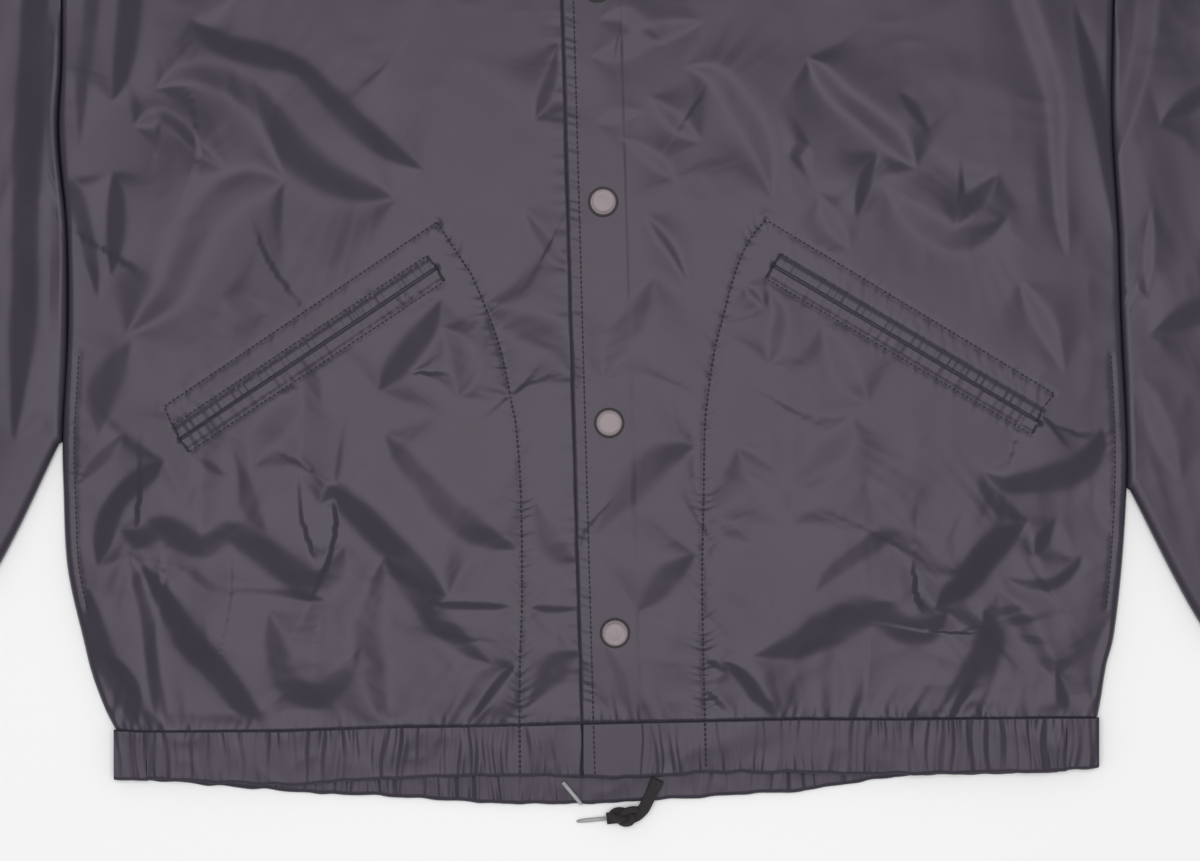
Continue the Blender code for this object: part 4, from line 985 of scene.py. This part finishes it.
def hem_casing(node, ends, side, crown, seed, steps, material):
    """A gathered casing: it rises from its seam, rolls over and goes under at its lower edge."""
    x = np.linspace(*ends, steps)
    lower = hem_value(x, 2 if side else 3)
    upper = hem_value(x, 1) if side else back_seam(x, ends)
    floor = HEM_FLOOR if side else 0.0
    turn = np.concatenate([[0.0, 0.012, 0.028, 0.05], np.linspace(0.08, 1, 27)])
    over = np.clip(np.minimum(0.55 + 16 * turn, 14 * (1.04 - turn)), 0.0, 1.0) ** 0.5
    # The rows from the seam to the lower edge, and four that go back under it
    rise = np.concatenate([1 - turn**1.1, [0.0, 0.06, 0.5, 0.97]])
    part = np.concatenate([over, [0.2, 0.0, 0.0, 0.05]])
    grid = np.zeros((len(rise), steps, 3))
    for row, share, height in zip(grid, rise, part):
        edge = HEM_EDGE_WAVE * wrinkle(x, seed + 2.0, 34.0) * (1 - share) ** 2
        row[:, 0] = x + 0.5 * np.sin(x / 5 + 5 * share)
        row[:, 1] = mix(lower + edge, upper + SEAM_LAP, share)
        row[:, 2] = mix(floor, hem_top(x, share, crown, seed, side), height)
    grid[:, 0, 0], grid[:, -1, 0] = ends
    finish_piece(add_sheet(f"{node}_cloth", grid), material, "nylon_hem", node)


def build_hems(nylon):
    """The fronts' casings, and the back's, which comes round to the front at both sides."""
    left_end, right_end = along_side(-1, 0.0)[0], along_side(1, 0.0)[0]
    edge = float(edge_x(0))
    start, end = left_end + HEM_WRAP, right_end - HEM_WRAP
    x = np.linspace(left_end, right_end, 1100)
    back_crown = mix(WRAP_CROWN, BACK_HEM[1], smooth((np.minimum(x - start, end - x) - 0.2) / 1.2))
    left = (1, LEFT_HEM[1], LEFT_HEM[0], 620, nylon)
    right = (-1, RIGHT_HEM[1], RIGHT_HEM[0], 560, nylon)
    hem_casing("hem_left_front", (edge, end - WRAP_GAP), *left)
    hem_casing("hem_right_front", (start + WRAP_GAP, edge - WRAP_GAP), *right)
    hem_casing("hem_back", (left_end, right_end), 0, back_crown, BACK_HEM[0], len(x), nylon)


def sleeve_place(side, across, down):
    """Plan points of a sleeve: across from the outer to the inner edge, down from the armhole."""
    edges = SLEEVE_EDGES[side]

    def armhole(across):
        on_arm = along_side(side, 1 - np.clip(across / ARMHOLE_SHARE, 0, 1) * (1 - SIDE_SHARE))
        x = on_arm[..., 0] + side * mix(0.2, SLEEVE_CLEAR, np.clip(across / ARMHOLE_SHARE, 0, 1))
        y = mix(SIDE_EDGES[-1][0], OPENING_LOW, (across - ARMHOLE_SHARE) / (1 - ARMHOLE_SHARE))
        low = np.stack([body_edge(side, y) + side * SLEEVE_CLEAR, y], -1)
        return np.where((across > ARMHOLE_SHARE)[..., None], low, np.stack([x, on_arm[..., 1]], -1))

    ends = armhole(np.array([0.0, 1.0]))
    outer = spline((tuple(ends[0]), *edges["outer"][1:]), down)
    turned = spline(edges["inner"], (down - INNER_TURN) / (1 - INNER_TURN))
    y = mix(ends[1][1], edges["inner"][0][1], down / INNER_TURN)
    beside = np.stack([body_edge(side, y) + side * SLEEVE_CLEAR, y], -1)
    inner = np.where((down > INNER_TURN)[:, None], turned, beside)
    a, d = across[None, :, None], down[:, None, None]
    straight = mix(outer[:, None], inner[:, None], a)
    chord = mix(ends[0], ends[1], across[:, None])
    plan = straight + (1 - d) ** ARMHOLE_FADE * (armhole(across) - chord)[None]
    bulge = UNDERARM_BULGE * np.minimum(1.0, 18 * d[..., 0]) * (1 - d[..., 0]) ** 2
    plan[..., 0] += side * bulge * np.sin(np.pi * across[None] ** 3)
    return plan


def sleeve_top(side, plan, across, down, width):
    """How high a sleeve's upper side lies: long folds down its length, gathered where it meets the cuff."""
    x, y = plan[..., 0], plan[..., 1]
    down = down[:, None]
    hidden = smooth((np.abs(x) - 305.0) / 30.0)
    long_folds = LONG_FOLD_HEIGHT * crumple(1.1 * x + 0.25 * side * y, 0.35 * y, 31 + side)
    long_folds += SLEEVE_CRUMPLE * crumple(x, y, 41 + side)
    shape = slopes(x, y, PHOTO_SLOPES) + mix(0.5, 1.0, hidden) * long_folds
    level = SLEEVE_TOP + shape * smooth(down / 0.05)
    gathers = SLEEVE_GATHER_HEIGHT * wrinkle(across[None] * width, 2.0, SLEEVE_GATHER)
    gathers *= 1 - smooth((1 - down) / 0.16)
    return np.clip(mix(SLEEVE_END_TOP, level, smooth((1 - down) / 0.05)) + gathers, *SLEEVE_RANGE)


def build_sleeves(nylon, hem_nylon):
    """The sleeves, each a tube laid flat, and their cuffs."""
    edge = np.array([0.0, 0.004, 0.012, 0.03])
    across = np.concatenate([edge, np.linspace(0.06, 0.94, 90), 1 - edge[::-1]])
    down = np.linspace(0, 1, 260)
    for side in (-1, 1):
        name = WEARER_SIDES[side]
        plan = sleeve_place(side, across, down)
        width = np.hypot(*(plan[:, 0] - plan[:, -1]).T)[:, None]
        near = np.minimum(across, 1 - across)[None] * width
        round_off = round_over(near / SLEEVE_ROUNDING)
        upper = mix(SLEEVE_EDGE, sleeve_top(side, plan, across, down, width), round_off)
        lower = mix(SLEEVE_EDGE, SLEEVE_UNDER, round_off)
        ring = np.concatenate([np.dstack([plan, upper]), np.dstack([plan, lower])[:, -2:0:-1]], axis=1)
        piece = add_sheet(f"sleeve_{name}_cloth", ring, closed=True, flip=side > 0)
        finish_piece(piece, nylon, "nylon", f"sleeve_{name}")
        build_cuff(side, plan[-1, 0], plan[-1, -1], hem_nylon)


def build_cuff(side, start, end, nylon):
    """An elastic cuff, a flattened gathered tube below a sleeve's two corners."""
    across, _ = direction(start, end)
    down = np.array([across[1], -across[0]]) * np.sign(across[0])
    middle = (start + end) / 2
    turn = np.linspace(0, 2 * np.pi, 240, endpoint=False)
    out = np.sign(np.cos(turn)) * np.abs(np.cos(turn)) ** 0.6
    high = np.sign(np.sin(turn)) * np.abs(np.sin(turn)) ** 0.5
    grid = np.zeros((40, len(turn), 3))
    for ring, row in zip(grid, np.linspace(0, 1, len(grid))):
        drift = 0.7 * np.sin(5 * row + 4 * np.cos(turn))
        ripple = 0.6 * wrinkle(np.cos(turn) * CUFF_WIDTH / 2 + drift, 1.0, CUFF_WIDTH / CUFF_GATHERS)
        half = CUFF_WIDTH / 2 * (1 - 0.03 * np.sin(np.pi * row))
        ring[:, :2] = middle + down * (SEAM_GAP + row * CUFF_LENGTH) + across * (out * half)[:, None]
        from_ends = np.clip(6 * np.array([row, 1 - row]), 0, 0.5)
        end_roll = 0.75 + 0.25 * np.prod(np.sin(np.pi * from_ends))
        swell = CUFF_TOP / 2 - CUFF_CLEAR + np.where(high > 0, ripple, 0.0)
        ring[:, 2] = CUFF_TOP / 2 + end_roll * high * swell
    name = WEARER_SIDES[side]
    piece = add_sheet(f"cuff_{name}_cloth", grid, closed=True, flip=side < 0)
    finish_piece(piece, nylon, "nylon_hem", f"cuff_{name}")


def build_collar(nylon):
    """The collar, one band: its stand rises from the neck seam, rolls over and falls on the shoulders."""
    rows = spline(COLLAR_HALF, np.linspace(0, 1, 120))
    seam, roll, edge, turn = rows[:, 0:3], rows[:, 3:6].copy(), rows[:, 6:9], rows[:, 9:10]
    angle = np.pi * turn
    towards = np.concatenate([np.sin(angle), 0 * angle, np.cos(angle)], axis=1) * ROLL_WIDTH
    roll[:, 2] -= towards[:, 2] / 2
    over = roll + towards / 2 + np.array([0.0, ROLL_WIDTH / 2, 0.0])
    start = roll + towards
    fall = mix(start, edge, 0.5) + np.array([0.0, 0.0, 0.8]) * np.cos(angle)
    keys = np.stack([seam, mix(seam, roll, 0.5), roll, over, start, fall, edge], axis=1)
    down = np.linspace(0, 1, 49)
    fine = np.stack([spline(section, down) for section in keys])
    fine[..., 2] += 0.35 * np.sin(fine[..., 1] / 9 + fine[..., 0] / 13) * down[None]
    half = fine.copy()
    half[..., 0] = centre_x(fine[..., 1]) - fine[..., 0]
    other = fine[-2::-1].copy()
    other[..., 0] = centre_x(other[..., 1]) + other[..., 0]
    piece = add_sheet("collar_cloth", np.concatenate([half, other]))
    bpy.ops.object.select_all(action="DESELECT")
    piece.select_set(True)
    bpy.context.view_layer.objects.active = piece
    thick = piece.modifiers.new("wall", "SOLIDIFY")
    thick.thickness = COLLAR_WALL / 1000
    thick.offset = 0.0
    bpy.ops.object.modifier_apply(modifier="wall")
    piece.select_set(False)
    finish_piece(piece, nylon, "nylon", "collar")


def build_welts(nylon):
    """Each pocket's two welts, level strips with a raised lip along the slit."""
    run = np.linspace(0, 1, 160)[:, None]
    over = np.linspace(0, 1, 14)
    lip = WELT_LIP * round_over(over / 0.08) * (1 - smooth((over - 0.55) / 0.45))
    for side in (-1, 1):
        inner = np.array(SLITS[side][0])
        along, length = direction(*SLITS[side])
        up = np.array([-along[1], along[0]]) * np.sign(along[0])
        ripple = 0.1 * wrinkle(run * length, side + 1.0, 16.0) * (1 - over)
        for name, way in (("upper", 1), ("lower", -1)):
            aside = way * mix(SLIT_HALF, SLIT_HALF + WELT_WIDTH, over)
            plan = inner + along * (run[..., None] * length) + up * aside[None, :, None]
            level = front_height(plan[:, -1, 0], plan[:, -1, 1])[:, None]
            grid = np.dstack([plan, level + WELT_BASE + lip + ripple])
            piece = add_sheet(f"pocket_{name}_{WEARER_SIDES[side]}_cloth", grid, flip=side * way > 0)
            finish_piece(piece, nylon, "nylon", f"pocket_welt_{name}_{WEARER_SIDES[side]}")


def raise_rings(name, profile, radius, height, sides):
    """A round closed shape at the frame's zero: a disc, extruded and resized to each row of its profile."""
    bpy.ops.object.select_all(action="DESELECT")
    first_radius = profile[0][0] * radius / 1000
    bpy.ops.mesh.primitive_circle_add(vertices=sides, radius=first_radius, fill_type="NGON")
    shape = bpy.context.active_object
    shape.name = name
    bpy.ops.object.mode_set(mode="EDIT")
    bpy.ops.transform.translate(value=(0.0, 0.0, profile[0][1] * height / 1000))
    for (wide, low), (next_wide, next_low) in zip(profile, profile[1:]):
        rise = (0.0, 0.0, (next_low - low) * height / 1000)
        bpy.ops.mesh.extrude_region_move(TRANSFORM_OT_translate={"value": rise})
        bpy.ops.transform.resize(value=(next_wide / wide, next_wide / wide, 1.0))
    bpy.ops.mesh.select_all(action="SELECT")
    bpy.ops.mesh.normals_make_consistent(inside=False)
    bpy.ops.object.mode_set(mode="OBJECT")
    bpy.ops.object.shade_smooth_by_angle(angle=np.radians(60))
    shape.select_set(False)
    return shape


def place_copy(shape, name, place, turn=(0.0, 0.0, 0.0)):
    """A copy with a mesh of its own, which holds its place in the garment's measure and its turn."""
    copy = shape.copy()
    copy.data = shape.data.copy()
    copy.name = name
    bpy.context.scene.collection.objects.link(copy)
    copy.location = to_frame([place])[0]
    copy.rotation_euler = turn
    copy.select_set(True)
    bpy.context.view_layer.objects.active = copy
    bpy.ops.object.transform_apply(location=True, rotation=True, scale=True)
    copy.select_set(False)
    return copy


def build_snaps(metal, ring_metal):
    """Ring-snap caps: a rolled rim round a shallow dished cap, on a dark ring."""
    radius = SNAP_DIAMETER / 2
    ring_shape = raise_rings("snap_ring", RING_PROFILE, radius, 1.0, SNAP_SIDES)
    cap_shape = raise_rings("snap_cap", CAP_PROFILE, radius, 1.0, SNAP_SIDES)
    around = np.linspace(0, 2 * np.pi, SNAP_SIDES, endpoint=False)
    for number, y in enumerate(SNAP_HEIGHTS, start=1):
        x = float(centre_x(y))
        under = front_height(x + radius * np.cos(around), y + radius * np.sin(around))
        place = (x, y, float(under.max()) + SNAP_LIFT)
        finish_piece(place_copy(ring_shape, f"snap_ring_{number}", place), ring_metal, "snap_metal")
        cap = place_copy(cap_shape, f"snap_cap_{number}", place)
        finish_piece(cap, metal, "snap_metal", f"snap_{number}")
    bpy.data.objects.remove(ring_shape)
    bpy.data.objects.remove(cap_shape)


def stitch_lines():
    """Every stitched line that shows, with the thread's thickness over the usual one."""
    lines = {}
    for side in (-1, 1):
        name = WEARER_SIDES[side]
        box = np.array(BOXES[side])
        lines[f"pocket_box_{name}"] = (box[[0, 1, 2, 3, 0]], 0.8)
        lines[f"pocket_upper_{name}"] = (np.array(UPPER_LINES[side][1:]), 0.9)
        bag = np.concatenate([smooth_line(BAG_SEAMS[side]), [BAG_ENDS[side]]])
        lines[f"pocket_bag_{name}"] = (bag, 1.3)
        lines[f"side_{name}"] = (side_stitch(side), 0.9)
        lines[f"pocket_bar_inner_{name}"] = (box[[1, 2]], 1.5)
        lines[f"pocket_bar_outer_{name}"] = (box[[3, 0]], 1.5)
    x = np.linspace(along_side(-1, 0.0)[0] + 1.0, along_side(1, 0.0)[0] - 1.0, 120)
    lines["hem_seam"] = (np.stack([x, hem_value(x, 1) + HEM_STITCH_RISE], -1), 0.7)
    y = np.linspace(*EDGE_STITCH_SPAN, 60)
    lines["front_edge"] = (np.stack([edge_x(y) + EDGE_STITCH, y], -1), 0.9)
    return lines


def stitch(first, last, aside, radius):
    """The points of one stitch, a short capsule from first to last, ring by ring."""
    turn = np.linspace(0, 2 * np.pi, THREAD_SIDES, endpoint=False)
    ring = np.cos(turn)[:, None] * aside + np.sin(turn)[:, None] * np.array([0.0, 0.0, THREAD_FLATNESS])
    rings = [mix(first, last, share) + radius * size * ring for share, size in STITCH_PROFILE]
    return np.concatenate(rings)


def stitch_faces(base):
    """The faces of one stitch whose points start at base."""
    faces = []
    for low in range(base, base + THREAD_SIDES * (len(STITCH_PROFILE) - 1), THREAD_SIDES):
        for j in range(THREAD_SIDES):
            n = (j + 1) % THREAD_SIDES
            faces.append((low + j, low + THREAD_SIDES + j, low + THREAD_SIDES + n, low + n))
    end = base + THREAD_SIDES * (len(STITCH_PROFILE) - 1)
    faces.append(tuple(range(base, base + THREAD_SIDES)))
    faces.append(tuple(reversed(range(end, end + THREAD_SIDES))))
    return faces


def build_stitches(thread):
    """Each stitch lies in the cloth along its seam."""
    for name, (line, size) in stitch_lines().items():
        on_bar = "bar" in name
        lift = np.array([0.0, 0.0, BAR_LIFT if on_bar else STITCH_LIFT])
        reach = along_line(line)
        starts = np.arange(0, reach[-1] - STITCH_LENGTH, BAR_PITCH if on_bar else STITCH_PITCH)
        ends = []
        for at in (starts, starts + STITCH_LENGTH):
            x, y = (np.interp(at, reach, line[:, column]) for column in (0, 1))
            ends.append(np.stack([x, y, top_height(x, y)], -1) + lift)
        run = (ends[1] - ends[0]) / STITCH_LENGTH
        aside = np.stack([-run[:, 1], run[:, 0], 0 * run[:, 0]], -1)
        points = [stitch(*end, THREAD_RADIUS * size) for end in zip(*ends, aside)]
        faces = [face for k in range(len(starts)) for face in stitch_faces(k * len(points[0]))]
        finish_piece(add_mesh(f"stitches_{name}", np.concatenate(points), faces), thread, "cord_black")


def build_knot(cord_finish):
    """An overhand knot pulled snug: the cord goes round along a knotted path that is wider than high."""
    turn = np.linspace(0, 2 * np.pi, 96, endpoint=False)
    loop = [np.sin(turn) + 2 * np.sin(2 * turn), np.cos(turn) - 2 * np.cos(2 * turn), -3 * np.sin(3 * turn)]
    sized = np.stack(loop, -1) * KNOT_HALF / 3
    lean = np.radians(KNOT_LEAN)
    x = sized[:, 0] * np.cos(lean) - sized[:, 1] * np.sin(lean)
    y = sized[:, 0] * np.sin(lean) + sized[:, 1] * np.cos(lean)
    places = np.stack([x, y, sized[:, 2]], -1) + KNOT_MIDDLE
    knot = add_cord("knot_turns", places, 2 * KNOT_CORD, 5)
    knot.data.splines[0].use_cyclic_u = True
    return finish_piece(knot, cord_finish, "cord_black", "cord_knot")


def build_tips(tip_finish):
    """The cord's two tips, as a list: the left one is on the free end that shows."""
    shape = raise_rings("cord_tip", TIP_PROFILE, TIP_RADIUS, TIP_LENGTH, TIP_SIDES)
    tips = []
    for name, (start, end) in TIPS.items():
        turn = (Vector(end) - Vector(start)).to_track_quat("Z", "Y").to_euler()
        tip = place_copy(shape, f"cord_tip_{name}_sleeve", start, turn)
        tips.append(finish_piece(tip, tip_finish, "tip_grey", f"cord_tip_{name}"))
    bpy.data.objects.remove(shape)
    return tips


def build_cord(cord_finish, tip_finish):
    """The drawcord's free end: a flat braid, turned a quarter round its own line so that it lies flat."""
    route = spline(CORD_ROUTE, np.linspace(0, 1, 29))
    cord = add_cord("drawcord_braid", route, CORD_THICKNESS, 4)
    cord.data.twist_mode = "Z_UP"
    cord.data.extrude = (CORD_WIDTH - CORD_THICKNESS) / 2000
    cord.data.use_fill_caps = True
    for point in cord.data.splines[0].points:
        point.tilt = np.pi / 2
    finish_piece(cord, cord_finish, "cord_black", "drawcord")
    places = to_frame(route)
    tips = build_tips(tip_finish)
    knot = build_knot(cord_finish)
    tuple(places[0])


def add_camera():
    """The camera, straight above the part of the garment that the photograph shows."""
    data = bpy.data.cameras.new("camera")
    data.lens = LENS
    data.sensor_width = SENSOR
    camera = add_object("camera", data)
    camera.location = to_frame([(*VIEW_MIDDLE, VIEW_WIDTH * LENS / SENSOR + FRONT_TOP)])[0]
    bpy.context.scene.camera = camera


def add_studio():
    """Soft even light on a plain pale table."""
    scene = bpy.context.scene
    scene.view_settings.view_transform = "Standard"
    world = bpy.data.worlds.new("studio")
    world.use_nodes = True
    background = world.node_tree.nodes["Background"]
    background.inputs["Color"].default_value = (1.0, 1.0, 1.0, 1.0)
    background.inputs["Strength"].default_value = ROOM_LIGHT
    scene.world = world
    light = bpy.data.lights.new("softbox", "AREA")
    light.shape = "RECTANGLE"
    light.size, light.size_y = SOFTBOX_SIZE
    light.energy = SOFTBOX_POWER
    add_object("softbox", light).location = SOFTBOX_PLACE
    bpy.ops.object.select_all(action="DESELECT")
    bpy.ops.mesh.primitive_plane_add(size=TABLE_SIZE, location=(0.0, 0.0, -TABLE_DROP))
    table = bpy.context.active_object
    table.name = "floor"
    # Uncoated paper: matt and even
    table.data.materials.append(grained_finish("pale paper", TABLE_WHITE, 4.0, 0.01, 0.9))
    table.select_set(False)


bpy.ops.object.select_all(action="DESELECT")
add_camera()
nylon = satin_nylon("nylon taffeta")
hem_nylon = satin_nylon("gathered nylon taffeta")
# Spun polyester thread: dark and dull, with fibres that break its edge
thread = grained_finish("polyester thread", THREAD_BLACK, 0.4, 0.05, 0.6)
cord_finish = braided_cord("braided polyester cord", CORD_BLACK)
# Extruded acetate tube: glossy and greyish, with a faint mist inside
tip_finish = grained_finish("acetate tip", TIP_GREY, 3.0, 0.02, 0.25)
# Lacquered brass: a soft grey gloss, a little uneven from handling
snap_finish = grained_finish("lacquered brass", SNAP_METAL, 1.6, 0.01, 0.4, 0.3)
ring_finish = grained_finish("dark lacquered brass", SNAP_RING, 1.6, 0.01, 0.5, 0.2)
build_cord(cord_finish, tip_finish)
build_back(nylon)
build_fronts(nylon)
build_hems(hem_nylon)
build_sleeves(nylon, hem_nylon)
build_collar(nylon)
build_welts(nylon)
build_snaps(snap_finish, ring_finish)
build_stitches(thread)
add_studio()
